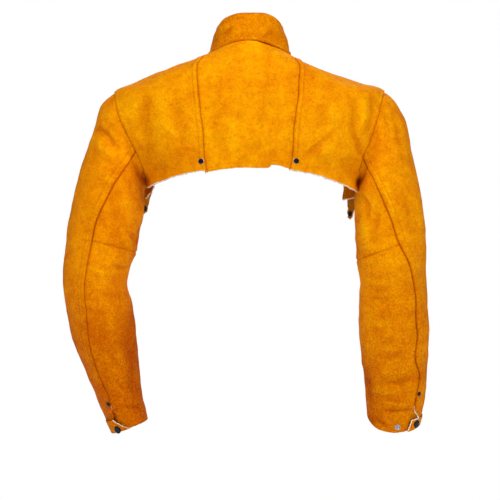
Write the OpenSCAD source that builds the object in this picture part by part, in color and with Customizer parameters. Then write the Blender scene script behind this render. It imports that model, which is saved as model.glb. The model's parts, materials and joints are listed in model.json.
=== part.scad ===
// Cropped leather welding jacket (cape sleeves): a short body with a stand-up collar and two long
// sleeves, sewn from split-leather panels and closed with press studs. Millimetres, +Z up.
// The origin is the middle of the neck opening. The wearer faces +Y, and +X is the wearer's right.

/* [Leather] */
// Thickness of the leather
leather_t = 2; // [1.6:0.1:2.2]
// Height at which a lapped flap or tab lies over the panel below it
lap_h = 3.7; // [3.6:0.1:4.2]
// Surface distance from a panel's cut edge to its seam, in degrees around the body
edge_deg = 0.25; // [0.2:0.05:0.4]

/* [Body] */
// Share of the drawn width, which widens or narrows the whole body
width_share = 1; // [0.96:0.01:1.04]
// Distance forward of the front hem from the neck's middle
front_hem_y = 130; // [120:1:140]
// Depth of the front hem below the neck's middle
front_hem_drop = 202; // [196:1:208]
// Greatest angle of the armhole away from the side of the body
armhole_deg = 34; // [30:1:36]

/* [Collar] */
// Half of the collar's width along its top edge
collar_top_half_w = 60; // [56:1:64]
// Height of the collar's top edge at the back of the neck
collar_back_z = 76; // [70:1:80]
// Height of the collar's top edge at the throat
collar_front_z = 14; // [8:1:20]

/* [Press studs and rivets] */
// Radius of a press stud's cap
cap_r = 7.5; // [7:0.1:7.8]
// Radius of the stud's nipple
nipple_r = 3; // [2.8:0.1:3.2]
// Radius of a rivet's head
rivet_r = 5.5; // [4.5:0.1:6]

/* [Front flap] */
// Distance of the flap's seam from the middle
flap_seam_x = 30; // [26:1:34]
// Reach of the flap past the middle
flap_reach_x = 16; // [13:1:18]

/* [Hidden] */
LEFT = -1;
RIGHT = 1;
leather = "orange";
dark = "dimgray";
bright = "silver";
$fn = 48;

// ---- Curves and surfaces ----

// A smooth value along a list of rows; k counts rows, so k = 2.5 lies between rows 2 and 3.
function curve(a, b, c, d, t) =
    0.5 * (2 * b + (c - a) * t + (2 * a - 5 * b + 4 * c - d) * t * t + (3 * b - a - 3 * c + d) * t * t * t);
function along(rows, k) =
    let (last = len(rows) - 1, i = max(0, min(floor(k), last - 1)))
    curve(rows[max(i - 1, 0)], rows[i], rows[i + 1], rows[min(i + 2, last)], k - i);
function signed_power(v, e) = sign(v) * pow(abs(v), e);
function steps(from, to, n) = [for (i = [0 : n]) from + (to - from) * i / n];
function unit(v) = v / norm(v);

// Rings of the body from the neck seam (row 0) past the shoulder points (row 4) and the underarms
// (row 8) to the hem (row 9): left half width, right half width, middle Y, left side Z, right side Z,
// back Y, back Z, and the power that squares the ring off.
BODY_RINGS = [
    [75, 75, -4, -3, -3, -72, 24, 1],
    [118, 118, -6, -17, -23, -96, 8, 1],
    [168, 166, -5, -33, -40, -110, -18, 0.98],
    [214, 210, -4, -53, -55, -120, -50, 0.95],
    [254, 254, -2, -71, -69, -127, -84, 0.93],
    [277, 274, 0, -118, -115, -131, -116, 0.92],
    [266, 268, 0, -168, -168, -133, -146, 0.9],
    [232, 238, 0, -205, -206, -133, -172, 0.85],
    [198, 207, 0, -230, -233, -132, -195, 0.8],
    [192, 205, 0, -249, -259, -131, -214, 0.78]];
SHOULDER_ROW = 4;
ARM_ROW = 6;
UNDERARM_ROW = 8;
HEM_ROW = 9;
front_neck_y = 60;
front_neck_z = -42;
function front_y(k) = front_neck_y + (front_hem_y - front_neck_y) * k / HEM_ROW;
function front_z(k) = front_neck_z - (front_hem_drop + front_neck_z) * k / HEM_ROW;

// A point of the body: angle 0 is the wearer's right side, -90 the back and 90 the front.
function body_point(angle, k) =
    let (r = along(BODY_RINGS, k), c = cos(angle), s = sin(angle),
         half_w = (c < 0 ? r[0] : r[1]) * width_share, side_z = c < 0 ? r[3] : r[4],
         end_y = s < 0 ? r[5] : front_y(k), end_z = s < 0 ? r[6] : front_z(k))
    [half_w * signed_power(c, r[7]),
     r[2] + (end_y - r[2]) * pow(abs(s), r[7]),
     side_z + (end_z - side_z) * s * s];
// The same on one side of the body, where angle 0 is that side.
function side_angle(side, angle) = side == RIGHT ? angle : 180 - angle;
function side_point(side, angle, k) = body_point(side_angle(side, angle), k);
// Half the angle of the armhole's opening at row k.
function armhole_angle(k) =
    let (share = (k - ARM_ROW) / (UNDERARM_ROW - ARM_ROW))
    abs(share) >= 1 ? 0 : armhole_deg * sqrt(1 - share * share);
// The angle at which the front's ring passes a distance from the middle, negative past it.
function front_angle(side, x, k) =
    let (r = along(BODY_RINGS, k), over = x < 0 ? -side : side,
         half_w = (over == LEFT ? r[0] : r[1]) * width_share)
    acos(signed_power(x / half_w, 1 / r[7]));
// Half the angle of the back's middle panel; its seams leave the neck at the shoulder line.
BACK_SEAM_ROWS = [90, 48, 34.8, 25.8, 20.1, 17.3, 16.6, 17.9, 19.6, 18.7];
BACK_SEAM_TOP = 0.32;
// The right seam runs this much closer to the middle.
BACK_SEAM_RIGHT_IN = [0.6, 0.6, 0.8, 0.8, 0.8, 0.8, 1, 1.5, 2.1, 2.5];
function back_seam_half(side, k) = let (turn = min(1, (k - BACK_SEAM_TOP) / 0.5))
    k < BACK_SEAM_TOP ? 90 : 90 + (along(BACK_SEAM_ROWS, k) - 90 - (side == LEFT ? 0 : along(BACK_SEAM_RIGHT_IN, k))) * turn;

// Stations of the sleeves: outer X and Z, inner X and Z, middle Y, half depth, and how much the
// front stands above the back. Station 0 is the armhole, 6 the elbow and 13 the cuff.
SLEEVE_LEFT = [
    [-278, -99, -200, -236, 0, 74, 0],
    [-278, -99, -200, -236, 0, 74, 0],
    [-295, -150, -202, -243, -2, 77, 0],
    [-314, -207, -205, -258, -4, 78, 0],
    [-330, -262, -205, -300, -6, 76, 0],
    [-338, -302, -209, -338, -8, 73, 0],
    [-343, -338, -214, -371, -8, 71, 0],
    [-349, -398, -225, -404, -6, 70, 0],
    [-349, -440, -228, -435, 0, 68, 2],
    [-344, -483, -221, -470, 8, 66, 3],
    [-332, -534, -213, -520, 18, 64, 4],
    [-309, -592, -209, -567, 28, 60, 4],
    [-284, -656, -203, -634, 36, 56, 4],
    [-259, -710, -192, -685, 42, 52, 4]];
SLEEVE_RIGHT = [
    [276, -91, 209, -238, 0, 74, 0],
    [276, -91, 209, -238, 0, 74, 0],
    [294, -130, 210, -244, -2, 77, 0],
    [305, -180, 207, -256, -4, 78, 0],
    [317, -236, 203, -290, -6, 76, 0],
    [326, -290, 200, -338, -8, 73, 0],
    [330, -338, 203, -386, -8, 71, 0],
    [331, -402, 209, -420, -6, 69, 0],
    [334, -452, 206, -457, 0, 66, 2],
    [337, -500, 205, -500, 8, 62, 4],
    [337, -545, 208, -545, 18, 57, 8],
    [335, -600, 214, -595, 27, 50, 14],
    [331, -648, 220, -640, 35, 44, 22],
    [322, -680, 222, -678, 40, 40, 32]];
ELBOW = 6;
CUFF = 13;
function sleeve_rows(side) = side == LEFT ? SLEEVE_LEFT : SLEEVE_RIGHT;
// A station's point: angle 0 is the outer side of the arm, 90 the front and -90 the back.
function station_point(side, i, angle) =
    i == 0 ? side_point(side, armhole_deg * sin(angle), ARM_ROW - (ARM_ROW - SHOULDER_ROW) * cos(angle))
    : let (r = sleeve_rows(side)[i])
      [(r[0] + r[2]) / 2 + (r[0] - r[2]) / 2 * cos(angle),
       r[4] + r[5] * sin(angle),
       (r[1] + r[3]) / 2 + (r[1] - r[3]) / 2 * cos(angle) + r[6] * sin(angle)];
function sleeve_point(side, angle, k) = along([for (i = [0 : CUFF]) station_point(side, i, angle)], k);
// The angle of the sleeve's back seam at each station; the front seam keeps one angle.
BACK_SEAM_LEFT = [-108, -111, -110, -101, -87, -78, -76, -74, -70, -66, -60, -57, -59, -45];
BACK_SEAM_RIGHT = [-118, -125, -126, -118, -103, -88, -78, -58, -50, -52, -51, -47, -48, -46];
function sleeve_seam(side, k) = along(side == LEFT ? BACK_SEAM_LEFT : BACK_SEAM_RIGHT, k);
front_seam_deg = 115;

// The collar's point: u runs from its foot (0) to its top edge (1).
collar_top_half_d = 56;
collar_top_y = -10;
collar_side_z = 55;
collar_shift_x = 2;
collar_swell = 3;
function collar_point(angle, u) =
    let (foot = body_point(angle, 0), s = sin(angle), c = cos(angle),
         top_z = collar_side_z + ((s < 0 ? collar_back_z : collar_front_z) - collar_side_z) * (1 - pow(c, 4)),
         top = [collar_shift_x + collar_top_half_w * c, collar_top_y + collar_top_half_d * s, top_z])
    foot + (top - foot) * u + [c, s, 0] * collar_swell * sin(180 * u);

// ---- Leather pieces from a grid of points ----

function grid_normal(g, i, j) =
    let (rows = len(g) - 1, cols = len(g[0]) - 1)
    unit(cross(g[min(i + 1, rows)][j] - g[max(i - 1, 0)][j], g[i][min(j + 1, cols)] - g[i][max(j - 1, 0)]));
function lifted(g, h) = [for (i = [0 : len(g) - 1]) [for (j = [0 : len(g[0]) - 1]) g[i][j] + h * grid_normal(g, i, j)]];
function joined(lists) = [for (l = lists) for (v = l) v];
// A closed sheet of leather. The grid's own points are its face, its back lies leather_t below,
// and high is how far the face is lifted over the grid. The grid's normals point out of the body.
module sheet(grid, high = 0) {
    n = len(grid);
    m = len(grid[0]);
    face = n * m;
    points = concat(joined(lifted(grid, high)), joined(lifted(grid, high - leather_t)));
    quads = [for (i = [0 : n - 2]) for (j = [0 : m - 2]) [i * m + j, i * m + j + 1, (i + 1) * m + j + 1, (i + 1) * m + j]];
    rim = concat([for (j = [0 : m - 1]) j], [for (i = [1 : n - 1]) i * m + m - 1],
                 [for (j = [m - 2 : -1 : 0]) (n - 1) * m + j], [for (i = [n - 2 : -1 : 1]) i * m]);
    rims = len(rim);
    polyhedron(points, concat(
        [for (q = quads) [q[0], q[1], q[2]]], [for (q = quads) [q[0], q[2], q[3]]],
        [for (q = quads) [q[2] + face, q[1] + face, q[0] + face]],
        [for (q = quads) [q[3] + face, q[2] + face, q[0] + face]],
        [for (i = [0 : rims - 1]) [rim[(i + 1) % rims], rim[i], rim[i] + face]],
        [for (i = [0 : rims - 1]) [rim[(i + 1) % rims], rim[i] + face, rim[(i + 1) % rims] + face]]));
}
// A grid read in the order that turns its normals outward on that side.
function outward(side, grid) = side == RIGHT ? grid : [for (row = grid) [for (j = [len(row) - 1 : -1 : 0]) row[j]]];

// ---- Hardware, each standing on its own seat with +Z away from the leather ----

clear = 0.15;
flange_h = 0.8;
nipple_h = 2.2;
socket_h = 2.3;
socket_r = 6.2;
socket_bore_r = nipple_r + 0.5;
dome_h = 2.2;
burr_h = 1;
module cap(r, h) {
    rotate_extrude() polygon(concat(
        [[0, 0], [r, 0]], [for (a = steps(0, 90, 8)) [r - h + h * cos(a), h * 0.3 + h * 0.7 * sin(a)]], [[0, h]]));
}
module stud() {
    cylinder(h = flange_h, r = nipple_r + 2.5);
    translate([0, 0, flange_h]) cylinder(h = nipple_h, r = nipple_r);
}
module socket() {
    difference() {
        cylinder(h = socket_h, r = socket_r);
        translate([0, 0, -1]) cylinder(h = socket_h + 2, r = socket_bore_r);
    }
}
module post() { cylinder(h = flange_h, r = nipple_r + 2); }
// Stands children on a point with +Z along a direction.
module seat(p, dir, h = 0) {
    translate(p + h * dir) rotate([0, acos(dir[2]), atan2(dir[1], dir[0])]) children();
}
// The outward direction of a surface, from points a little way along it both ways.
function facing(side, across, along_it) = unit(side * cross(across, along_it));
stud_seat = clear;
post_seat = -leather_t - clear - flange_h;
bend_room = 0.55;

// ---- Body panels ----

// Both sides of a back seam use the same rows, so that their facets meet along it.
BODY_ROWS = concat([0.5, 0.65, 0.8], steps(1.2, HEM_ROW, 14));
body_steps = 14;
module back_centre_panel() color(leather)
    sheet([for (k = concat([0.03, 0.3], BODY_ROWS)) [for (u = steps(-1, 1, 10))
        body_point(-90 + u * (back_seam_half(u < 0 ? LEFT : RIGHT, k) - edge_deg), k)]]);
module back_side_panel(side) color(leather)
    sheet(outward(side, [for (k = BODY_ROWS)
        let (seam = -90 + back_seam_half(side, k) + edge_deg, edge = -armhole_angle(k) - edge_deg * 5)
        [for (u = steps(0, 1, 7)) side_point(side, seam + (edge - seam) * u, k)]]));
// The right front runs on under the flap, so its edge lies past the middle.
under_reach_x = 14;
function front_edge_x(side) = side == LEFT ? flap_seam_x : -under_reach_x;
module front_panel(side) color(leather)
    sheet(outward(side, [for (k = steps(0.03, HEM_ROW, body_steps))
        let (edge = armhole_angle(k) + edge_deg * 4, front = front_angle(side, front_edge_x(side), k))
        [for (u = steps(0, 1, 12)) side_point(side, edge + (front - edge) * u, k)]]));
facing_w = 26;
facing_gap = 0.5;
// Room left between the leather's back and the plates behind it, where the leather curves.
deeper = 0.6;
module front_facing() color(leather)
    sheet([for (k = steps(0.3, HEM_ROW - 0.1, 8))
        [for (u = steps(0, 1, 4)) body_point(front_angle(RIGHT, facing_w - u * (facing_w + under_reach_x - 2), k), k)]],
        -leather_t - facing_gap - flange_h - clear - deeper);

// ---- Collar ----

collar_end_deg = 83;
collar_cols = 26;
collar_foot = 0.04;
function collar_grid(end_deg, foot) =
    [for (u = steps(1, foot, 4)) [for (a = steps(-90 - (90 + end_deg), end_deg, collar_cols)) collar_point(a, u)]];
module collar_outer() color(leather) sheet(collar_grid(collar_end_deg, collar_foot));
module collar_lining() color(leather) sheet(collar_grid(collar_end_deg - 1, collar_foot + 0.03), -leather_t - facing_gap);

// ---- Press studs down the front ----

front_dir = unit([0, front_hem_drop + front_neck_z, front_hem_y - front_neck_y]);
FRONT_SNAP_ROWS = [0.9, 3.4, 5.9, 8.4];
module down_front(h) for (k = FRONT_SNAP_ROWS) seat([0, front_y(k), front_z(k)], front_dir, h) children();
module front_flap() color(leather)
    sheet([for (k = steps(0.2, HEM_ROW, 8)) [for (x = steps(flap_reach_x, -flap_seam_x, 6))
        body_point(front_angle(RIGHT, x, k), k)]], lap_h + leather_t);
module front_snap_caps() color(dark) down_front(lap_h + leather_t + clear) cap(cap_r, dome_h);
module front_snap_sockets() color(bright) down_front(lap_h - clear - socket_h) socket();
module front_snap_studs() color(bright) down_front(stud_seat) stud();
module front_snap_posts() color(bright) down_front(post_seat - deeper) post();

// ---- Collar tab ----

collar_tab_from = 112;
collar_tab_to = 62;
collar_snap_deg = 71;
collar_snap_u = 0.5;
collar_snap_at = collar_point(collar_snap_deg, collar_snap_u);
collar_snap_dir = facing(RIGHT,
    collar_point(collar_snap_deg + 3, collar_snap_u) - collar_point(collar_snap_deg - 3, collar_snap_u),
    collar_point(collar_snap_deg, collar_snap_u + 0.1) - collar_point(collar_snap_deg, collar_snap_u - 0.1));
module collar_tab() color(leather)
    sheet([for (u = steps(0.78, 0.22, 3)) [for (a = steps(collar_tab_to, collar_tab_from, 8)) collar_point(a, u)]],
        lap_h + bend_room + leather_t);
module on_collar(h) seat(collar_snap_at, collar_snap_dir, h) children();
module collar_snap_cap() color(dark) on_collar(lap_h + bend_room + leather_t + clear) cap(cap_r, dome_h);
module collar_snap_socket() color(bright) on_collar(lap_h - clear - socket_h) socket();
module collar_snap_stud() color(bright) on_collar(stud_seat) stud();
module collar_snap_post() color(bright) on_collar(post_seat - leather_t - 2 * facing_gap - bend_room) post();

// ---- Rivets at the feet of the back seams ----

rivet_row = 8.1;
rivet_deg = 2.4;
function rivet_at(side) = side_point(side, -90 + back_seam_half(side, rivet_row) + rivet_deg, rivet_row);
function rivet_dir(side) = let (a = -90 + back_seam_half(side, rivet_row) + rivet_deg)
    facing(side, side_point(side, a + 3, rivet_row) - side_point(side, a - 3, rivet_row),
        side_point(side, a, rivet_row - 0.3) - side_point(side, a, rivet_row + 0.3));
module back_rivets() color(dark) for (side = [LEFT, RIGHT])
    seat(rivet_at(side), rivet_dir(side), clear) cap(rivet_r, dome_h * 0.8);
module back_rivet_burrs() color(bright) for (side = [LEFT, RIGHT])
    seat(rivet_at(side), rivet_dir(side), -leather_t - deeper - burr_h) cylinder(h = burr_h, r = rivet_r - 0.5);

// ---- Tabs that hold a bib, one at each side of the front hem ----

tab_w = 28;
tab_l = 47;
tab_end_r = 12;
tab_stud_drop = 37;
BIB_TAB_AT = [[-193, 48, -252], [195, 56, -262]];
BIB_TAB_TURN = [38, 42];
BIB_TAB_LEAN = [8, -6];
function of_side(side, pair) = side == LEFT ? pair[0] : pair[1];
module bib_frame(side) {
    translate(of_side(side, BIB_TAB_AT)) rotate([0, side * -of_side(side, BIB_TAB_LEAN), 0])
        rotate([0, 0, side * of_side(side, BIB_TAB_TURN)]) children();
}
module bib_tab(side) color(leather) bib_frame(side)
    rotate([90, 0, 90]) translate([0, 0, -leather_t / 2]) linear_extrude(leather_t) difference() {
        union() {
            translate([-tab_w / 2, -tab_l + tab_end_r]) square([tab_w, tab_l - tab_end_r]);
            for (x = [-1, 1]) translate([x * (tab_w / 2 - tab_end_r), -tab_l + tab_end_r]) circle(r = tab_end_r);
            translate([-tab_w / 2 + tab_end_r, -tab_l]) square([tab_w - 2 * tab_end_r, tab_end_r]);
        }
    }
module on_bib(side, h) bib_frame(side) translate([side * (leather_t / 2 + h), 0, -tab_stud_drop])
    rotate([0, side * 90, 0]) children();
module bib_stud(side) color(dark) on_bib(side, 0) stud();
module bib_post(side) color(dark) on_bib(side, -leather_t - flange_h) post();

// ---- Sleeves ----

upper_from = 0.12;
elbow_gap = 0.06;
sleeve_edge_deg = 0.4;
module top_sleeve(side, from, to, n) color(leather)
    sheet(outward(side, [for (k = steps(from, to, n)) let (seam = sleeve_seam(side, k) + sleeve_edge_deg)
        [for (a = steps(seam, front_seam_deg - sleeve_edge_deg, 11)) sleeve_point(side, a, k)]]));
module under_sleeve(side, from, to, n) color(leather)
    sheet(outward(side, [for (k = steps(from, to, n)) let (seam = sleeve_seam(side, k) + 360 - sleeve_edge_deg)
        [for (a = steps(front_seam_deg + sleeve_edge_deg, seam, 10)) sleeve_point(side, a, k)]]));

// ---- Cuffs: tab, press stud and rivet ----

CUFF_TAB = [[-12, -92, -56, 12.5, 13], [-8, -62, -57, 12.45, 13]];
CUFF_SNAP_TAB = [[-60, 12.86], [-44, 12.68]];
CUFF_SNAP_SLEEVE = [[-60, 12.86], [-84, 12.68]];
CUFF_RIVET = [[-57, 12.04], [-42, 11.52]];
module cuff_tab(side) {
    t = of_side(side, CUFF_TAB);
    color(leather) sheet(outward(side, [for (k = steps(t[3], t[4], 3))
        let (end = t[2] + (t[1] - t[2]) * (k - t[3]) / (t[4] - t[3]))
        [for (a = steps(end, t[0], 12)) sleeve_point(side, a, k)]]), lap_h + bend_room + leather_t);
}
function sleeve_dir(side, a, k) = facing(side,
    sleeve_point(side, a + 3, k) - sleeve_point(side, a - 3, k),
    sleeve_point(side, a, k - 0.1) - sleeve_point(side, a, k + 0.1));
module on_sleeve(side, spots, h) {
    s = of_side(side, spots);
    seat(sleeve_point(side, s[0], s[1]), sleeve_dir(side, s[0], s[1]), h) children();
}
module cuff_snap_cap(side) color(dark)
    on_sleeve(side, CUFF_SNAP_TAB, lap_h + bend_room + leather_t + clear) cap(cap_r, dome_h);
module cuff_snap_socket(side) color(bright) on_sleeve(side, CUFF_SNAP_TAB, lap_h - clear - socket_h) socket();
module cuff_snap_stud(side) color(bright) on_sleeve(side, CUFF_SNAP_SLEEVE, stud_seat) stud();
module cuff_snap_post(side) color(bright) on_sleeve(side, CUFF_SNAP_SLEEVE, post_seat - 2 * deeper) post();
module cuff_rivet(side) color(dark) on_sleeve(side, CUFF_RIVET, clear) cap(rivet_r - 1, dome_h * 0.8);
module cuff_rivet_burr(side) color(bright) on_sleeve(side, CUFF_RIVET, -leather_t - 2 * deeper - burr_h)
    cylinder(h = burr_h, r = rivet_r - 1.5);

back_centre_panel();
back_side_panel(LEFT);  // back_side_panel_left
back_side_panel(RIGHT);  // back_side_panel_right
front_panel(LEFT);  // front_panel_left
front_panel(RIGHT);  // front_panel_right
front_facing();  // front_facing_right
collar_outer();
collar_lining();
collar_snap_stud();
collar_snap_post();
front_snap_studs();
front_snap_posts();
back_rivets();
back_rivet_burrs();
front_flap();
front_snap_caps();
front_snap_sockets();
collar_tab();
collar_snap_cap();
collar_snap_socket();
bib_tab(LEFT);  // bib_tab_left
bib_stud(LEFT);  // bib_stud_left
bib_post(LEFT);  // bib_post_left
bib_tab(RIGHT);  // bib_tab_right
bib_stud(RIGHT);  // bib_stud_right
bib_post(RIGHT);  // bib_post_right
top_sleeve(LEFT, upper_from, ELBOW - elbow_gap, 8);  // top_sleeve_upper_left
under_sleeve(LEFT, upper_from, ELBOW - elbow_gap, 8);  // under_sleeve_upper_left
top_sleeve(RIGHT, upper_from, ELBOW - elbow_gap, 8);  // top_sleeve_upper_right
under_sleeve(RIGHT, upper_from, ELBOW - elbow_gap, 8);  // under_sleeve_upper_right
top_sleeve(LEFT, ELBOW + elbow_gap, CUFF, 9);  // top_sleeve_lower_left
under_sleeve(LEFT, ELBOW + elbow_gap, CUFF, 9);  // under_sleeve_lower_left
top_sleeve(RIGHT, ELBOW + elbow_gap, CUFF, 9);  // top_sleeve_lower_right
under_sleeve(RIGHT, ELBOW + elbow_gap, CUFF, 9);  // under_sleeve_lower_right
cuff_snap_stud(LEFT);  // cuff_snap_stud_left
cuff_snap_post(LEFT);  // cuff_snap_post_left
cuff_snap_stud(RIGHT);  // cuff_snap_stud_right
cuff_snap_post(RIGHT);  // cuff_snap_post_right
cuff_rivet(LEFT);  // cuff_rivet_left
cuff_rivet_burr(LEFT);  // cuff_rivet_burr_left
cuff_rivet(RIGHT);  // cuff_rivet_right
cuff_rivet_burr(RIGHT);  // cuff_rivet_burr_right
cuff_tab(LEFT);  // cuff_tab_left
cuff_snap_cap(LEFT);  // cuff_snap_cap_left
cuff_snap_socket(LEFT);  // cuff_snap_socket_left
cuff_tab(RIGHT);  // cuff_tab_right
cuff_snap_cap(RIGHT);  // cuff_snap_cap_right
cuff_snap_socket(RIGHT);  // cuff_snap_socket_right
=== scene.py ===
import json
import math

import bpy
import numpy as np
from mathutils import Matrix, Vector


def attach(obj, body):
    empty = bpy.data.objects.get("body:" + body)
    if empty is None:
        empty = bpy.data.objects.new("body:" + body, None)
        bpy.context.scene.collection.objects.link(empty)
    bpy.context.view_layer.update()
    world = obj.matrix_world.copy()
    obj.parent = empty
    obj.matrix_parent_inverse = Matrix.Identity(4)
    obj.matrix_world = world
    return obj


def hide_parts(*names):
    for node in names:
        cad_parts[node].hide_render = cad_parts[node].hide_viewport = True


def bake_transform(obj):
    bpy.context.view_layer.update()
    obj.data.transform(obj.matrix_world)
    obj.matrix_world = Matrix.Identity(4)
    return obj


# The looks of the leather jacket. Every surface below repeats the CAD source's own surfaces, more finely,
# and adds what leather has: turned seams, ragged cut edges, folds, stitches and a nap. Lengths are in metres.
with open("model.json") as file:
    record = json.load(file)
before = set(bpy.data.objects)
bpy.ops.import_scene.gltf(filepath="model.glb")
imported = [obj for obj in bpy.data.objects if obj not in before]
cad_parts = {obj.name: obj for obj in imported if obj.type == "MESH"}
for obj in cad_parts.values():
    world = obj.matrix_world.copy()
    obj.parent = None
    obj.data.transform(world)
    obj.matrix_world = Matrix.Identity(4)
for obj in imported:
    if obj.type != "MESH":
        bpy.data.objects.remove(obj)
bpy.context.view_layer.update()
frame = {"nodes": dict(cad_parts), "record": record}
MM = 0.001
LEFT, RIGHT = -1, 1
LEATHER_T = 0.002

# ---- The surfaces of the jacket, as in part.scad (tables in millimetres) ----

BODY_RINGS = np.array([
    [75, 75, -4, -3, -3, -72, 24, 1000],
    [118, 118, -6, -17, -23, -96, 8, 1000],
    [168, 166, -5, -33, -40, -110, -18, 980],
    [214, 210, -4, -53, -55, -120, -50, 950],
    [254, 254, -2, -71, -69, -127, -84, 930],
    [277, 274, 0, -118, -115, -131, -116, 920],
    [266, 268, 0, -168, -168, -133, -146, 900],
    [232, 238, 0, -205, -206, -133, -172, 850],
    [198, 207, 0, -230, -233, -132, -195, 800],
    [192, 205, 0, -249, -259, -131, -214, 780]], float) * MM
SLEEVE_LEFT = np.array([
    [-278, -99, -200, -236, 0, 74, 0],
    [-278, -99, -200, -236, 0, 74, 0],
    [-295, -150, -202, -243, -2, 77, 0],
    [-314, -207, -205, -258, -4, 78, 0],
    [-330, -262, -205, -300, -6, 76, 0],
    [-338, -302, -209, -338, -8, 73, 0],
    [-343, -338, -214, -371, -8, 71, 0],
    [-349, -398, -225, -404, -6, 70, 0],
    [-349, -440, -228, -435, 0, 68, 2],
    [-344, -483, -221, -470, 8, 66, 3],
    [-332, -534, -213, -520, 18, 64, 4],
    [-309, -592, -209, -567, 28, 60, 4],
    [-284, -656, -203, -634, 36, 56, 4],
    [-259, -710, -192, -685, 42, 52, 4]], float) * MM
SLEEVE_RIGHT = np.array([
    [276, -91, 209, -238, 0, 74, 0],
    [276, -91, 209, -238, 0, 74, 0],
    [294, -130, 210, -244, -2, 77, 0],
    [305, -180, 207, -256, -4, 78, 0],
    [317, -236, 203, -290, -6, 76, 0],
    [326, -290, 200, -338, -8, 73, 0],
    [330, -338, 203, -386, -8, 71, 0],
    [331, -402, 209, -420, -6, 69, 0],
    [334, -452, 206, -457, 0, 66, 2],
    [337, -500, 205, -500, 8, 62, 4],
    [337, -545, 208, -545, 18, 57, 8],
    [335, -600, 214, -595, 27, 50, 14],
    [331, -648, 220, -640, 35, 44, 22],
    [322, -680, 222, -678, 40, 40, 32]], float) * MM
BACK_SEAM_ROWS = np.array([90, 48, 34.8, 25.8, 20.1, 17.3, 16.6, 17.9, 19.6, 18.7])
BACK_SEAM_RIGHT_IN = np.array([0.6, 0.6, 0.8, 0.8, 0.8, 0.8, 1, 1.5, 2.1, 2.5])
BACK_SEAM_LEFT = np.array([-108, -111, -110, -101, -87, -78, -76, -74, -70, -66, -60, -57, -59, -45.0])
BACK_SEAM_RIGHT = np.array([-118, -125, -126, -118, -103, -88, -78, -58, -50, -52, -51, -47, -48, -46.0])
SLEEVE = {LEFT: SLEEVE_LEFT, RIGHT: SLEEVE_RIGHT}
BACK_SEAM = {LEFT: BACK_SEAM_LEFT, RIGHT: BACK_SEAM_RIGHT}
# The row where the back seams leave the shoulder line, and the rows that their turn takes.
BACK_SEAM_TOP, BACK_SEAM_TURN = 0.32, 0.5
ARMHOLE_DEG = 34
ARMHOLE_ROW, ARMHOLE_ROWS = 6, 2  # the armhole's middle row on the body, and how far it reaches either way
FRONT_SEAM = 115
ELBOW, CUFF, HEM = 6, 13, 9  # rows of the sleeve and of the body
COLLAR_SIDE_Z, COLLAR_BACK_Z, COLLAR_FRONT_Z = 0.055, 0.076, 0.014
COLLAR_TOP = (0.002, -0.010, 0.060, 0.056)  # centre x and y, half width and half depth
COLLAR_BULGE = 0.003
NAME = {LEFT: "left", RIGHT: "right"}


def front_y(k):
    return 0.060 + 0.070 * k / HEM


def front_z(k):
    return -0.042 - 0.160 * k / HEM


def curve(a, b, c, d, t):
    """A smooth curve from b, at t = 0, to c, at 1. It passes a before them and d after."""
    bend, turn = 2 * a - 5 * b + 4 * c - d, 3 * b - a - 3 * c + d
    return 0.5 * (2 * b + (c - a) * t + bend * t * t + turn * t**3)


def along(rows, k):
    """A smooth value along the rows of a table; k counts rows and may be an array."""
    rows, k = np.asarray(rows, float), np.asarray(k, float)
    last = len(rows) - 1
    i = np.clip(np.floor(k), 0, last - 1).astype(int)
    t = k - i
    if rows.ndim > 1:
        t = t[..., None]
    return curve(rows[np.maximum(i - 1, 0)], rows[i], rows[i + 1], rows[np.minimum(i + 2, last)], t)


def cos_sin(degrees):
    return np.cos(np.radians(degrees)), np.sin(np.radians(degrees))


def body(angle, k):
    """Angle 0 is the wearer's right side, -90 the back, 90 the front. k runs from the neck, 0, to HEM."""
    angle, k = np.broadcast_arrays(np.asarray(angle, float), np.asarray(k, float))
    left_w, right_w, mid_y, left_z, right_z, back_y, back_z, power = np.moveaxis(along(BODY_RINGS, k), -1, 0)
    c, s = cos_sin(angle)
    side_z = np.where(c < 0, left_z, right_z)
    end_y = np.where(s < 0, back_y, front_y(k))
    end_z = np.where(s < 0, back_z, front_z(k))
    x = np.where(c < 0, left_w, right_w) * np.sign(c) * np.abs(c) ** power
    y = mid_y + (end_y - mid_y) * np.abs(s) ** power
    return np.stack([x, y, side_z + (end_z - side_z) * s * s], -1)


def side_body(side, angle, k):
    return body(angle if side > 0 else 180 - np.asarray(angle, float), k)


def armhole(k):
    share = (np.asarray(k, float) - ARMHOLE_ROW) / ARMHOLE_ROWS
    return ARMHOLE_DEG * np.sqrt(np.clip(1 - share * share, 0, 1))


def front_angle(side, x, k):
    r = along(BODY_RINGS, k)
    wide = r[..., 0] if (x >= 0) == (side < 0) else r[..., 1]
    v = x / wide
    return np.degrees(np.arccos(np.sign(v) * np.abs(v) ** (1 / r[..., 7])))


def seam_half(side, k):
    k = np.asarray(k, float)
    half = along(BACK_SEAM_ROWS, k) - (0 if side < 0 else along(BACK_SEAM_RIGHT_IN, k))
    turned_down = np.clip((k - BACK_SEAM_TOP) / BACK_SEAM_TURN, 0, 1)
    return np.where(k < BACK_SEAM_TOP, 90, 90 + (half - 90) * turned_down)


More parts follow.
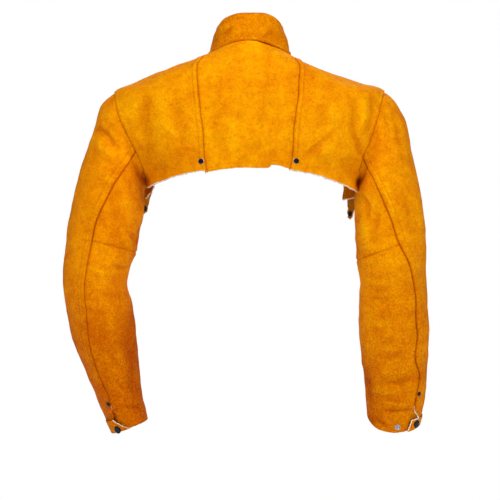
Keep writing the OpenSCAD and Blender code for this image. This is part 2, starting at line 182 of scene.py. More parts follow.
def sleeve(side, angle, k):
    """Angle 0 is the arm's outer side, -90 the back, 90 the front. k runs from the armhole, 0, to CUFF."""
    angle, k = np.broadcast_arrays(np.asarray(angle, float), np.asarray(k, float))
    c, s = cos_sin(angle)
    stations = [side_body(side, ARMHOLE_DEG * s, ARMHOLE_ROW - ARMHOLE_ROWS * c)]
    for out_x, out_z, in_x, in_z, mid_y, deep, lean in SLEEVE[side][1:]:
        stations.append(np.stack([(out_x + in_x) / 2 + (out_x - in_x) / 2 * c, mid_y + deep * s,
                                  (out_z + in_z) / 2 + (out_z - in_z) / 2 * c + lean * s], -1))
    stations = np.stack(stations)
    i = np.clip(np.floor(k), 0, CUFF - 1).astype(int)

    def take(n):
        return np.take_along_axis(stations, np.clip(n, 0, CUFF)[None, ..., None], 0)[0]

    return curve(take(i - 1), take(i), take(i + 1), take(i + 2), (k - i)[..., None])


# How each forearm's seam wanders: row, degrees and half length.
WANDER = {LEFT: [(9.0, -2.0, 1.0), (12.1, -4.5, 0.6)],
          RIGHT: [(9.5, 3.0, 0.35), (10.3, -4.0, 0.36), (10.9, 5.5, 0.26), (11.9, -4.0, 0.4)]}
STRAIGHT = 3.1  # the row down to which it runs straight
NO_TIE = 2e-7  # makes the search below keep to the nearest of two equally straight angles


def sleeve_seam(side, k):
    """The angle of the sleeve's back seam. Seen from behind, it leaves the armhole in a straight line."""
    k = np.asarray(k, float)
    seam = along(BACK_SEAM[side], k)
    first = k < STRAIGHT
    if first.any():
        ends = np.array([0, STRAIGHT])
        low, high = sleeve(side, along(BACK_SEAM[side], ends), ends)
        tries = seam[first][:, None] + np.linspace(-28, 28, 1121)[None, :]
        p = sleeve(side, tries, k[first][:, None])
        d = high - low
        off = np.abs((p[..., 0] - low[0]) * d[2] - (p[..., 2] - low[2]) * d[0])
        off = off + NO_TIE * np.abs(tries - seam[first][:, None])
        seam[first] = np.take_along_axis(tries, off.argmin(1)[:, None], 1)[:, 0]
    for row, deg, half in WANDER[side]:
        seam = seam + deg * np.exp(-(((k - row) / half) ** 2))
    return seam


def collar(angle, u):
    """u runs from the collar's foot, 0, to its top edge, 1."""
    angle, u = np.broadcast_arrays(np.asarray(angle, float), np.asarray(u, float))
    c, s = cos_sin(angle)
    foot = body(angle, np.zeros_like(u))
    end_z = np.where(s < 0, COLLAR_BACK_Z, COLLAR_FRONT_Z)
    top_z = COLLAR_SIDE_Z + (end_z - COLLAR_SIDE_Z) * (1 - c**4)
    x, y, wide, deep = COLLAR_TOP
    top = np.stack([x + wide * c, y + deep * s, top_z], -1)
    out = np.stack([c, s, 0 * c], -1)
    return foot + (top - foot) * u[..., None] + out * (COLLAR_BULGE * np.sin(np.pi * u))[..., None]


# ---- Smooth noise and folds ----

# Large numbers that mix a grid cell's place into one that looks random.
HASH_STEPS = (374761393, 668265263, 1440662683)
HASH_SEED, HASH_MIX = 974634777, 1274126177


def noise(p, size, seed=0):
    """Smooth gradient noise, about -1 to 1, the same on every run."""
    q = np.asarray(p, float) / size + 411.3 + 17.7 * seed
    i = np.floor(q).astype(np.int64)
    f = q - i
    u = f * f * f * (f * (f * 6 - 15) + 10)
    total = 0
    for corner in np.ndindex(2, 2, 2):
        h = sum((i[..., a] + corner[a]) * HASH_STEPS[a] for a in range(3)) + seed * HASH_SEED
        h = (h ^ (h >> 13)) & 0xFFFFFFFF
        h = (h * HASH_MIX) & 0xFFFFFFFF
        h = h ^ (h >> 16)
        slopes = [((h >> s) & 1023) / 511.5 - 1 for s in (0, 10, 20)]
        dot = sum(slopes[a] * (f[..., a] - corner[a]) for a in range(3))
        w = 1
        for a in range(3):
            w = w * (u[..., a] if corner[a] else 1 - u[..., a])
        total = total + w * dot
    return total * 1.5


def unit(v):
    return v / np.maximum(np.linalg.norm(v, axis=-1, keepdims=True), 1e-12)


def step(a, b, x):
    t = np.clip((x - a) / (b - a), 0, 1)
    return t * t * (3 - 2 * t)


def bell(x):
    return np.exp(-(x**2))


# The heights and half widths below are multiplied by these. A fold that starts further out than ARM_X is a
# sleeve's.
FOLD_LIFT = 1.9
ARM_X, ARM_FOLD, BODY_FOLD = 0.195, 0.66, 0.8
# Soft folds seen from behind: points (x, z) in millimetres along the fold, its height, where negative is a
# dent, and its half width.
FOLDS = [
    ([(-290, -132), (-268, -152), (-246, -178)], -2.6, 9),
    ([(-300, -150), (-280, -172), (-252, -196)], 1.6, 10),
    ([(-190, -72), (-197, -120), (-186, -176)], -1.4, 13),
    ([(-165, -66), (-158, -120), (-166, -180)], 1.2, 15),
    ([(-140, -80), (-124, -140), (-118, -190)], -0.9, 12),
    ([(-168, -128), (-142, -150), (-122, -162)], 0.9, 7),
    ([(-60, -90), (-66, -140), (-58, -190)], -0.8, 12),
    ([(-20, -70), (-34, -120), (-30, -170)], 0.9, 14),
    ([(30, -60), (28, -110), (18, -160)], -0.7, 13),
    ([(60, -50), (66, -110), (58, -180)], 0.8, 12),
    ([(100, -196), (126, -172), (152, -150), (178, -128)], -1.0, 5),
    ([(112, -206), (140, -184), (168, -164)], 0.9, 7),
    ([(148, -80), (156, -120), (150, -168)], 1.1, 14),
    ([(190, -84), (196, -118), (188, -150)], -1.3, 9),
    ([(212, -80), (216, -112), (208, -150)], 1.3, 8),
    ([(228, -82), (230, -112), (222, -140)], -1.2, 6),
    ([(190, -142), (202, -168), (213, -200)], -1.8, 7),
    ([(240, -110), (250, -150), (246, -190)], 1.3, 11),
    ([(262, -96), (276, -140), (284, -190)], -1.2, 11),
    ([(-52, 32), (-42, 40), (-32, 48)], -1.8, 5),
    ([(-58, 40), (-48, 48), (-38, 56)], 1.0, 5),
    ([(20, 26), (36, 34), (50, 48)], -0.7, 6),
    ([(-240, -330), (-228, -352), (-222, -368)], 1.6, 9),
    ([(-262, -250), (-252, -290), (-246, -330)], -1.2, 13),
    ([(-234, -250), (-226, -290), (-224, -330)], 1.4, 12),
    ([(-332, -230), (-338, -290), (-340, -350)], -1.1, 12),
    ([(-252, -395), (-240, -402), (-226, -398)], -1.8, 7),
    ([(-300, -400), (-270, -410), (-246, -408)], 1.2, 9),
    ([(-290, -440), (-262, -452), (-236, -450)], -1.0, 9),
    ([(-262, -480), (-258, -520), (-246, -560)], 1.2, 13),
    ([(-226, -540), (-219, -590), (-216, -640)], -1.5, 17),
    ([(-262, -560), (-250, -580), (-236, -596)], -1.2, 8),
    ([(-258, -620), (-240, -634), (-222, -640)], 1.0, 8),
    ([(-236, -656), (-218, -664), (-206, -660)], -1.0, 6),
    ([(236, -290), (238, -310), (232, -332)], -1.6, 9),
    ([(214, -300), (216, -330), (222, -360)], 1.6, 9),
    ([(206, -262), (220, -282), (222, -312)], -2.2, 7),
    ([(250, -230), (262, -272), (268, -312)], 1.2, 12),
    ([(286, -250), (298, -300), (306, -360)], -1.4, 12),
    ([(306, -230), (318, -290), (322, -350)], 1.2, 10),
    ([(212, -420), (240, -430), (268, -426)], 1.2, 10),
    ([(222, -452), (250, -462), (282, -452)], -1.3, 9),
    ([(214, -500), (240, -508), (262, -498)], 1.1, 9),
    ([(236, -560), (262, -566), (296, -556)], -0.9, 8),
    ([(252, -598), (280, -600), (306, -590)], 1.6, 6),
    ([(250, -613), (278, -618), (306, -609)], -2.2, 5),
    ([(230, -628), (262, -636), (296, -632)], 1.3, 7),
    ([(256, -657), (280, -658), (304, -655)], 1.5, 4.5),
    ([(250, -668), (276, -670), (304, -665)], -2.2, 4),
    ([(232, -682), (252, -694), (268, -704)], -1.3, 6),
    ([(222, -600), (224, -630), (228, -660)], -1.6, 8),
]


def folds(p, n):
    """Height of the folds at points p with outward directions n. They show where the jacket faces back."""
    h = np.zeros(p.shape[:-1])
    for line, high, half in FOLDS:
        line = np.array(line, float) * MM
        best = np.full(h.shape, 1e9)
        at = np.zeros(h.shape)
        for s in range(len(line) - 1):
            a, d = line[s], line[s + 1] - line[s]
            q = np.stack([p[..., 0] - a[0], p[..., 2] - a[1]], -1)
            t = np.clip((q @ d) / (d @ d), 0, 1)
            far = np.linalg.norm(q - t[..., None] * d, axis=-1)
            nearer = far < best
            best = np.where(nearer, far, best)
            at = np.where(nearer, (s + t) / (len(line) - 1), at)
        wide = half * MM * (ARM_FOLD if abs(line[0, 0]) > ARM_X else BODY_FOLD)
        fade = np.clip(np.sin(np.pi * np.clip(at, 0.08, 0.92)) * 1.3, 0, 1)
        h += FOLD_LIFT * high * MM * bell(best / wide) * fade
    return h * np.clip(-n[..., 1] * 1.6, 0, 1)


def relief(p, n, amount=1.0, creased=0.0):
    """Height of the folds and creases over the plain surface. creased adds wrinkles round an arm."""
    soft = 2.6 * noise(p, 0.085, 1) + 1.3 * noise(p, 0.038, 2)
    ridge = 1 - 2.6 * np.abs(noise(p, 0.026, 4))
    fine = 0.42 * noise(p, 0.016, 3) + 0.30 * ridge + 0.12 * noise(p, 0.007, 5)
    h = (soft + fine) * MM * amount + folds(p, n)
    if np.any(creased):
        sway = np.stack([noise(p, 0.05, seed) for seed in (74, 75, 76)], -1)
        bent = p * np.array([1, 1, 2.1]) + 0.012 * sway
        ridge = 1 - 2.4 * np.abs(noise(bent, 0.062, 72))
        here = np.clip(0.5 + 1.2 * noise(p, 0.09, 73), 0, 1)
        h = h + creased * MM * (1.15 * noise(bent, 0.048, 71) + 0.8 * ridge * here)
    return h


# ---- Hardware: where it sits ----

FRONT_DIR = unit(np.array([0, 0.160, 0.070]))  # square to the line down the front
FRONT_SNAP_ROWS = [0.9, 3.4, 5.9, 8.4]
COLLAR_SNAP = (71, 0.5)
RIVET_ROW, RIVET_DEG = 8.1, 2.4  # the back rivets' row, and how far outside the seam they are
# Degrees and row on the sleeve.
CUFF_SNAP_TAB = {LEFT: (-60, 12.86), RIGHT: (-44, 12.68)}
CUFF_SNAP_SLEEVE = {LEFT: (-60, 12.86), RIGHT: (-84, 12.68)}
CUFF_RIVET = {LEFT: (-57, 12.04), RIGHT: (-42, 11.52)}


def seat(surface, a, k, rise, turn=1):
    """The point of a surface at angle a and row k, and the way out of it. rise is a step of k upwards."""
    across = surface(a + 3, k) - surface(a - 3, k)
    up = surface(a, k + rise) - surface(a, k - rise)
    return surface(a, k), unit(turn * np.cross(across, up))


def sleeve_seat(side, spot):
    return seat(lambda a, k: sleeve(side, a, k), *spot, -0.1, side)


def back_rivet(side):
    angle = -90 + float(seam_half(side, RIVET_ROW)) + RIVET_DEG
    return seat(lambda a, k: side_body(side, a, k), angle, RIVET_ROW, -0.3, side)


def collar_snap():
    return seat(collar, *COLLAR_SNAP, 0.1)


def front_spot(k):
    return np.array([0, front_y(k), front_z(k)])


# The places where hardware sits and the leather lies flat, and how far round them.
CALM = [(front_spot(k), 0.020) for k in FRONT_SNAP_ROWS] + [(collar_snap()[0], 0.016)]
for side in (LEFT, RIGHT):
    CALM.append((back_rivet(side)[0], 0.011))
    for spot, reach in ((CUFF_RIVET, 0.009), (CUFF_SNAP_SLEEVE, 0.014), (CUFF_SNAP_TAB, 0.014)):
        CALM.append((sleeve_seat(side, spot[side])[0], reach))

# ---- Turning a grid of points into a piece of leather ----


def blurred(h, rows, cols):
    """h smoothed over that many points each way, twice."""
    for axis, n in ((0, rows), (0, rows), (1, cols), (1, cols)):
        first, last = np.take(h, [0], axis), np.take(h, [-1], axis)
        pad = np.concatenate([0 * first, np.repeat(first, n, axis), h, np.repeat(last, n, axis)], axis)
        total = np.cumsum(pad, axis)
        m, width = h.shape[axis], 2 * n + 1
        h = (np.take(total, np.arange(width, width + m), axis) - np.take(total, np.arange(m), axis)) / width
    return h


def normals(g):
    return unit(np.cross(np.gradient(g, axis=0), np.gradient(g, axis=1)))


def outward(g, centre):
    """The normals turned away from centre, and the sign that turned them."""
    n = normals(g)
    sign = 1 if float(((g - centre) * n).sum()) > 0 else -1
    return n * sign, sign


# A grid's four edges: its first and last row, i0 and i1, and its first and last column, j0 and j1.
ALL = slice(None)
EDGE = {"i0": (0, ALL), "i1": (-1, ALL), "j0": (ALL, 0), "j1": (ALL, -1)}
BESIDE = {"i0": (1, ALL), "i1": (-2, ALL), "j0": (ALL, 1), "j1": (ALL, -2)}


def edge_lengths(g):
    """Distance along the surface of every point from the four edges."""
    di = np.linalg.norm(np.diff(g, axis=0), axis=-1)
    dj = np.linalg.norm(np.diff(g, axis=1), axis=-1)
    i0 = np.vstack([np.zeros((1, g.shape[1])), np.cumsum(di, 0)])
    j0 = np.hstack([np.zeros((g.shape[0], 1)), np.cumsum(dj, 1)])
    return {"i0": i0, "i1": i0[-1:] - i0, "j0": j0, "j1": j0[:, -1:] - j0}


# Turned seams: how far the edge rounds down, how dark its painted shade is, and how much of it is turned.
STRONG = (0.0021, 0.85)  # its share varies along the sleeve, and is added there
PLAIN = (0.0018, 0.55, 1.0)
LIGHT = (0.0013, 0.40, 1.0)
SEAM_PUFF = 0.0008  # the leather swells beside a seam
TUCK, ARM_TUCK, TUCK_IN = 0.0034, 0.0056, 0.0012  # how far a turned edge runs on behind its neighbour
HOLLOW = 0.010  # a crease gets painted shade where it is lower than the leather this far round it
RIM_LEVELS = 2  # rings of points between the outer and the inner face


def turned(d, r):
    """How far a turned seam edge rounds down at distance d from the seam."""
    x = np.clip(1 - d / (1.15 * r), 0, 1)
    return r * (1 - np.sqrt(1 - x * x * 0.98))


def along_edge(e, w):
    """Spreads a weight given along an edge over the whole grid."""
    if np.isscalar(w):
        return w
    return w[:, None] if e in ("j0", "j1") else w[None, :]


def closed(name, grid, p, back, out, cuts, hide_cut, sign):
    """The mesh of an outer face p, an inner face back, and a rim between them that is ragged where it is cut.

    Also gives the vertex numbers of the outer face, and those along its rim.
    """
    rows, cols = p.shape[:2]
    idx = np.arange(rows * cols).reshape(rows, cols)
    ring = np.concatenate([idx[0, :], idx[1:, -1], idx[-1, -2::-1], idx[-2:0:-1, 0]])
    tag = np.array(["i0"] * (cols - 1) + ["j1"] * (rows - 1) + ["i1"] * (cols - 1) + ["j0"] * (rows - 1))
    away = np.zeros_like(p)
    for e in ("i0", "j1", "i1", "j0"):
        away[EDGE[e]] += out[e]
    away = unit(away.reshape(-1, 3)[ring])
    verts = [p.reshape(-1, 3), back.reshape(-1, 3)]
    a, b = verts[0][ring], verts[1][ring]
    is_cut = np.isin(np.roll(tag, 1), cuts) | np.isin(tag, cuts)
    for s in range(1, RIM_LEVELS + 1):
        t = s / (RIM_LEVELS + 1)
        wave = (0.0003 + 0.0004 * noise(a, 0.0016, 20 + s)[:, None]) * math.sin(math.pi * t)
        verts.append(a + (b - a) * t + away * wave * is_cut[:, None])
    levels = [2 * idx.size + s * len(ring) + np.arange(len(ring)) for s in range(RIM_LEVELS)]
    loops = [ring] + levels + [ring + idx.size]
    outer = np.stack([idx[:-1, :-1], idx[1:, :-1], idx[1:, 1:], idx[:-1, 1:]], -1).reshape(-1, 4)[:, ::sign]
    faces = [outer, outer[:, ::-1] + idx.size]
    for lo, hi in zip(loops[:-1], loops[1:]):
        faces.append(np.stack([lo, np.roll(lo, -1), np.roll(hi, -1), hi], -1)[:, ::sign])
    clear_cut = np.isin(tag, cuts)
    if hide_cut is not None:
        clear_cut = clear_cut & ~hide_cut(grid.reshape(-1, 3)[ring])
    rim_mats = [np.where(clear_cut, 2, 1)] * (RIM_LEVELS + 1)
    mats = np.concatenate([np.zeros(len(outer), int), np.ones(len(outer), int)] + rim_mats)
    return mesh_piece(name, np.concatenate(verts), np.concatenate(faces).tolist(), mats), idx, ring


def spread(values, ring, inner_share):
    """Values for every vertex: the outer face, that share of them on the inner face, and the rim."""
    flat = values.reshape(-1, *values.shape[2:])
    return np.concatenate([flat, flat * inner_share] + [flat[ring]] * RIM_LEVELS)


def declare(obj, slot, stands_for, body_name):
    """The piece's finish and body; it also hides the CAD parts that it stands for."""
    for m in (SUEDE, FLESH if slot == "leather" else LINING, CUT):
        obj.data.materials.append(m)
    if stands_for:
        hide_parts(*stands_for)
    if body_name:
        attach(obj, body_name)


def leather(name, grid, centre, seams=None, cuts=(), body_name="torso", stands_for=(), amount=1.0,
            bands=(), lift=0.0, feather=0.0013, towards=None, slot="leather", hide_cut=None, tone=0.0,
            split=None, painted_shade=0.0, creased=0.0, warm=0.0):
    """A closed piece of leather from a grid of points.

    seams are the edges turned into a seam, and cuts the raw edges. bands are raised strips along an edge,
    each with a width and a height. towards gives the middle of the armhole for an edge that turns into it.
    feather is how far the flesh side shows past a raw edge, and hide_cut says where the edge isn't pale.
    split is an edge where the same leather runs on in the next piece.
    """
    seams, towards = seams or {}, towards or {}
    n0, sign = outward(grid, centre)
    d = edge_lengths(grid)
    if "i0" in towards:  # the wrinkles fade out at that edge
        creased = creased * step(0.002, 0.035, d["i0"])
    h = relief(grid, n0, amount, creased)
    i_step, j_step = (np.linalg.norm(np.diff(grid, axis=a), axis=-1).mean() for a in (0, 1))
    # worn here is how far the leather lies below its height smoothed round it. It sets painted shade in the
    # hollows of creases and, where it is negative, a painted highlight on the crests.
    worn = (blurred(h, max(1, round(HOLLOW / i_step)), max(1, round(HOLLOW / j_step))) - h) / 0.0012
    # Painted shade on the sides of the arms, a little mottled; it darkens both the seam and the tone values.
    painted_side_shade = np.clip(painted_shade, 0, 1) * (1 + 0.45 * noise(grid, 0.03, 61))
    shade = np.tanh(np.maximum(worn, 0)) * 0.40 + 0.62 * painted_side_shade
    p = grid.copy()
    for e, (radius, dark, share) in seams.items():
        w = along_edge(e, share)
        h = h + SEAM_PUFF * w * bell((d[e] - 0.0055) / 0.0032)
        # Painted shade along the seam: dark in its groove and fainter over a wider band beside it.
        shade = np.maximum(shade, dark * w * bell(d[e] / 0.0017))
        shade = shade + 0.16 * dark * w * bell(d[e] / 0.006)
        way = unit(towards[e] - grid) if e in towards else -n0
        p = p + way * (turned(d[e], radius) * w)[..., None]
    for e, wide, high in bands:
        h = h + along_edge(e, high) * (1 - step(wide - 0.0012, wide + 0.0016, d[e]))
        # Painted shade just past the band's edge, and a painted highlight along the band near its edge.
        shade = np.maximum(shade, 0.34 * bell((d[e] - wide - 0.0008) / 0.0015))
        worn = worn - 0.7 * bell((d[e] - wide + 0.0022) / 0.0016)
    for c, reach in CALM:
        h = h * (1 - bell(np.linalg.norm(grid - c, axis=-1) / reach))
    p = p + n0 * (h + lift)[..., None]
    n1 = normals(p) * sign
    back = p - n1 * LEATHER_T
    for e, (_, _, share) in seams.items():
        at, on = EDGE[e], unit(grid[EDGE[e]] - grid[BESIDE[e]])
        w = np.broadcast_to(share, len(on))[:, None]
        back[at] += (on * (ARM_TUCK if e in towards else TUCK) - n0[at] * TUCK_IN) * w
    out = {e: unit(p[EDGE[e]] - p[BESIDE[e]]) for e in EDGE}
    fray = 1 + 0.9 * noise(grid, 0.0035, 9) + 0.5 * noise(grid, 0.0012, 10)
    for e in cuts:
        reach = feather.get(e, 0.001) if isinstance(feather, dict) else feather
        back[EDGE[e]] += out[e] * (reach * fray[EDGE[e]])[:, None]
    obj, idx, ring = closed(name, grid, p, back, out, cuts, hide_cut, sign)
    if split:  # one piece of leather in two meshes: the shading runs on across the cut
        line = set(idx[EDGE[split]].tolist())
        sharp = obj.data.attributes.new("sharp_edge", "BOOLEAN", "EDGE")
        on_line = [k.vertices[0] in line and k.vertices[1] in line for k in obj.data.edges]
        sharp.data.foreach_set("value", on_line)
    rest = spread(grid, ring, 1)
    # Painted shade: the leather is darker towards the bottom, and more so low on the left side.
    low, left_low = step(-0.24, -0.66, rest[:, 2]), step(-0.44, -0.60, rest[:, 2]) * (rest[:, 0] < 0)
    painted_falloff = 0.50 * low + 0.34 * left_low
    put(obj, "rest", rest)
    # The seam attribute holds painted shade: in creases, along seams, beside raised bands and on the arms'
    # sides.
    put(obj, "seam", spread(shade, ring, 0.3))
    # tone holds the tone given to a piece, the painted shade towards the bottom and the painted shade on the
    # arms' sides.
    put(obj, "tone", np.clip(0.7 * tone + painted_falloff + 0.75 * spread(painted_side_shade, ring, 0), 0, 1.3))
    put(obj, "warm", np.full(len(rest), warm))
    # ridge holds a painted highlight on the crests of folds.
    put(obj, "ridge", spread(np.tanh(np.maximum(-worn, 0)), ring, 0))
    declare(obj, slot, stands_for, body_name)
    return obj, p, n1


def mesh_piece(name, verts, faces, mats=None):
    me = bpy.data.meshes.new(name)
    me.from_pydata(np.asarray(verts, float).tolist(), [], faces)
    me.polygons.foreach_set("use_smooth", np.ones(len(me.polygons), bool))
    if mats is not None:
        me.polygons.foreach_set("material_index", np.asarray(mats, np.int32))
    me.update()
    obj = bpy.data.objects.new(name, me)
    bpy.context.scene.collection.objects.link(obj)
    return obj


def put(obj, name, values):
    """Stores a number or a vector for each vertex, for the materials to read."""
    kind, key = ("FLOAT", "value") if values.ndim == 1 else ("FLOAT_VECTOR", "vector")
    a = obj.data.attributes.new(name, kind, "POINT")
    a.data.foreach_set(key, np.asarray(values, np.float32).ravel())


# ---- Materials ----

WHITE = (1, 1, 1)


def nodes_of(name):
    m = bpy.data.materials.new(name)
    m.use_nodes = True
    return m, m.node_tree, m.node_tree.nodes["Principled BSDF"]


def set_inputs(node, values):
    for key, value in values.items():
        node.inputs[key].default_value = value


def stored(nt, name, output="Fac"):
    """What put() stored under that name."""
    n = nt.nodes.new("ShaderNodeAttribute")
    n.attribute_name = name
    return n.outputs[output]


def object_coords(nt):
    return nt.nodes.new("ShaderNodeTexCoord").outputs["Object"]


def math_node(nt, operation, source, second=0.0):
    n = nt.nodes.new("ShaderNodeMath")
    n.operation = operation
    n.inputs[1].default_value = second
    nt.links.new(source, n.inputs[0])
    return n.outputs[0]


def map_range(nt, source, low, high):
    n = nt.nodes.new("ShaderNodeMapRange")
    set_inputs(n, {"To Min": low, "To Max": high})
    nt.links.new(source, n.inputs["Value"])
    return n


def ramp(nt, source, stops):
    n = nt.nodes.new("ShaderNodeValToRGB")
    ends = n.color_ramp.elements[0], n.color_ramp.elements[1]
    for element, (pos, col) in zip(ends, (stops[0], stops[-1])):
        element.position = pos
        element.color = (*col, 1)
    for pos, col in stops[1:-1]:
        n.color_ramp.elements.new(pos).color = (*col, 1)
    nt.links.new(source, n.inputs[0])
    return n.outputs[0]


def multiplied(nt, share, a, b):
    """Colour a multiplied by b, as far as share says."""
    n = nt.nodes.new("ShaderNodeMix")
    n.data_type, n.blend_type = "RGBA", "MULTIPLY"
    for socket, v in ((n.inputs[0], share), (n.inputs[6], a), (n.inputs[7], b)):
        if isinstance(v, bpy.types.NodeSocket):
            nt.links.new(v, socket)
        else:
            socket.default_value = (*v, 1) if isinstance(v, tuple) else v
    return n.outputs[2]


def noise_node(nt, coords, scale, detail=3, rough=0.55, stretch=None, distort=0.0):
    if stretch:
        mapping = nt.nodes.new("ShaderNodeMapping")
        mapping.inputs["Scale"].default_value = stretch
        nt.links.new(coords, mapping.inputs["Vector"])
        coords = mapping.outputs[0]
    n = nt.nodes.new("ShaderNodeTexNoise")
    set_inputs(n, {"Scale": scale, "Detail": detail, "Roughness": rough, "Distortion": distort})
    nt.links.new(coords, n.inputs["Vector"])
    return n.outputs["Fac"]


def bump(nt, height, distance, strength, before=None):
    b = nt.nodes.new("ShaderNodeBump")
    set_inputs(b, {"Distance": distance, "Strength": strength})
    nt.links.new(height, b.inputs["Height"])
    if before is not None:
        nt.links.new(before, b.inputs["Normal"])
    return b.outputs["Normal"]


def suede(name, deep, middle, bright, sheen=0.04, nap=1.0):
    """Split leather: patches of colour, a mottled nap, fine fibres and a soft sheen."""
    m, nt, bsdf = nodes_of(name)
    co = stored(nt, "rest", "Vector")
    broad = noise_node(nt, co, 9, 3, 0.55, distort=0.5)
    patch = noise_node(nt, co, 44, 6, 0.72, stretch=(1.1, 1, 0.95), distort=0.5)
    streak = noise_node(nt, co, 120, 4, 0.68, stretch=(0.8, 0.8, 1.15), distort=0.9)
    mottle = noise_node(nt, co, 290, 4, 0.74)
    fibre = noise_node(nt, co, 1300, 3, 0.7)
    flecks = ramp(nt, patch, [(0.30, (0.91, 0.72, 0.5)), (0.50, WHITE), (0.68, (1.03, 1.17, 1.2))])
    lines = ramp(nt, streak, [(0.32, (0.88, 0.76, 0.70)), (0.52, WHITE), (0.70, (1.05, 1.16, 1.2))])
    grain = ramp(nt, mottle, [(0.3, (0.76, 0.64, 0.5)), (0.5, WHITE), (0.7, (1.10, 1.20, 1.3))])
    hair = ramp(nt, fibre, [(0.25, (0.78, 0.72, 0.68)), (0.75, (1.14, 1.18, 1.2))])
    # Darker mottling laid on where tone is high: mostly painted shade, and on some pieces their darker tone.
    shaded_mottle = [(0.34, (0.66, 0.52, 0.40)), (0.50, (1.02, 1.02, 1.0)), (0.68, (1.12, 1.18, 1.25))]
    speck = ramp(nt, mottle, shaded_mottle)
    # The stored tone darkens the colour below: painted shade towards the bottom and on the arms' sides, and the
    # darker tone given to some pieces.
    tone = stored(nt, "tone")
    # The seam attribute darkens the colour below as painted shade.
    seam = math_node(nt, "MULTIPLY", stored(nt, "seam"), 0.8)
    col = ramp(nt, broad, [(0.34, deep), (0.52, middle), (0.70, bright)])
    # ridge lightens the colour below as a painted highlight on the crests of folds.
    for share, colour in (
            (0.9, flecks), (0.85, lines), (0.9, grain), (0.5 * nap, hair), (tone, (0.68, 0.48, 0.36)),
            (tone, speck), (stored(nt, "warm"), (1.0, 0.84, 0.8)),
            (stored(nt, "ridge"), (1.06, 1.24, 1.6)), (seam, (0.56, 0.22, 0.10))):
        col = multiplied(nt, share, col, colour)
    nt.links.new(col, bsdf.inputs["Base Color"])
    nt.links.new(map_range(nt, patch, 0.78, 0.96).outputs[0], bsdf.inputs["Roughness"])
    lumps = bump(nt, noise_node(nt, co, 55, 6, 0.66, distort=0.4), 0.0042, 0.75)
    grains = bump(nt, mottle, 0.0016, 0.95, lumps)
    nt.links.new(bump(nt, fibre, 0.00030 * nap, 0.8, grains), bsdf.inputs["Normal"])
    gold = (1.0, 0.42, 0.02, 1)
    set_inputs(bsdf, {"Specular IOR Level": 0.12, "Specular Tint": gold, "Sheen Weight": sheen,
                      "Sheen Roughness": 0.6, "Sheen Tint": gold})
    return m


def cut_edge():
    m, nt, bsdf = nodes_of("cut_edge")
    co = stored(nt, "rest", "Vector")
    fibres = [(0.3, (0.40, 0.27, 0.15)), (0.5, (0.74, 0.62, 0.47)), (0.7, (0.88, 0.82, 0.72))]
    nt.links.new(ramp(nt, noise_node(nt, co, 420, 4, 0.7), fibres), bsdf.inputs["Base Color"])
    nt.links.new(bump(nt, noise_node(nt, co, 1600, 3, 0.7), 0.0004, 0.9), bsdf.inputs["Normal"])
    set_inputs(bsdf, {"Roughness": 0.95, "Specular IOR Level": 0.15})
    return m


def metal(name, colour, rough, worn):
    """Plated or blackened steel, with fine scratches, and brighter where it is rubbed."""
    m, nt, bsdf = nodes_of(name)
    co = object_coords(nt)
    blotch = noise_node(nt, co, 380, 4, 0.6)
    scratch = noise_node(nt, co, 900, 2, 0.5, stretch=(1, 0.12, 0.5))
    nt.links.new(ramp(nt, blotch, [(0.35, colour), (0.75, worn)]), bsdf.inputs["Base Color"])
    nt.links.new(map_range(nt, blotch, rough - 0.08, rough + 0.14).outputs[0], bsdf.inputs["Roughness"])
    nt.links.new(bump(nt, scratch, 0.00004, 0.5), bsdf.inputs["Normal"])
    bsdf.inputs["Metallic"].default_value = 0.9
    return m


def thread_material():
    m, nt, bsdf = nodes_of("thread")
    twist = noise_node(nt, object_coords(nt), 1400, 2, 0.5)
    col = ramp(nt, twist, [(0.3, (0.42, 0.17, 0.015)), (0.7, (0.72, 0.34, 0.05))])
    nt.links.new(col, bsdf.inputs["Base Color"])
    set_inputs(bsdf, {"Roughness": 0.6, "Sheen Weight": 0.2})
    return m


SUEDE = suede("golden_suede", (0.78, 0.245, 0.0005), (0.84, 0.300, 0.0006), (0.90, 0.350, 0.0008))
FLESH = suede("flesh_side", (0.50, 0.155, 0.004), (0.60, 0.20, 0.006), (0.68, 0.25, 0.009), 0.05, 1.4)
LINING = suede("lining_suede", (0.56, 0.165, 0.003), (0.66, 0.22, 0.004), (0.74, 0.265, 0.006), 0.05, 1.2)
CUT = cut_edge()
BLACK = metal("blackened_steel", (0.005, 0.005, 0.007), 0.28, (0.035, 0.035, 0.042))
NICKEL = metal("nickel_plate", (0.34, 0.34, 0.37), 0.24, (0.66, 0.66, 0.70))
THREAD = thread_material()

# ---- Leather pieces ----

MIDDLE = np.array([0, 0, -0.14])
NECK = np.array([0, -0.008, 0.03])
GAP, HOLE_GAP, ARM_GAP = 0.04, 0.12, 0.1  # degrees between an edge and its seam's middle line
DEGREES = np.arange(0, 360, 10)


def spaced(n, ends=0.72):
    """0 to 1 in n steps, closer together at both ends."""
    u = np.linspace(0, 1, n + 1)
    return u - ends * np.sin(2 * np.pi * u) / (2 * np.pi)


def between(start, end, u):
    """Each row's values from its start, at u = 0, to its end, at 1."""
    return start[:, None] * (1 - u[None, :]) + end[:, None] * u[None, :]


def shifted(grid, share, rise):
    """Moves the end of every column up by rise, or down where it is negative. It fades over that last share."""
    t = step(1 - share, 1, np.linspace(0, 1, len(grid)))[:, None]
    out = grid.copy()
    out[..., 2] += t * rise[None, :]
    return out


def to_hem(grid, share=0.16):
    """The back hem: ragged, lower at the left seam, and higher just outside the right one."""
    end = grid[-1]
    x = end[:, 0]
    rise = -0.004 * step(-0.02, -0.085, x) * (x > -0.0825)
    rise = rise + 0.0068 * step(0.036, 0.043, x) * (1 - step(0.047, 0.084, x))
    rag = 0.0010 * noise(end, 0.017, 31) + 0.0006 * noise(end, 0.006, 32)
    return shifted(grid, share, rise + rag)


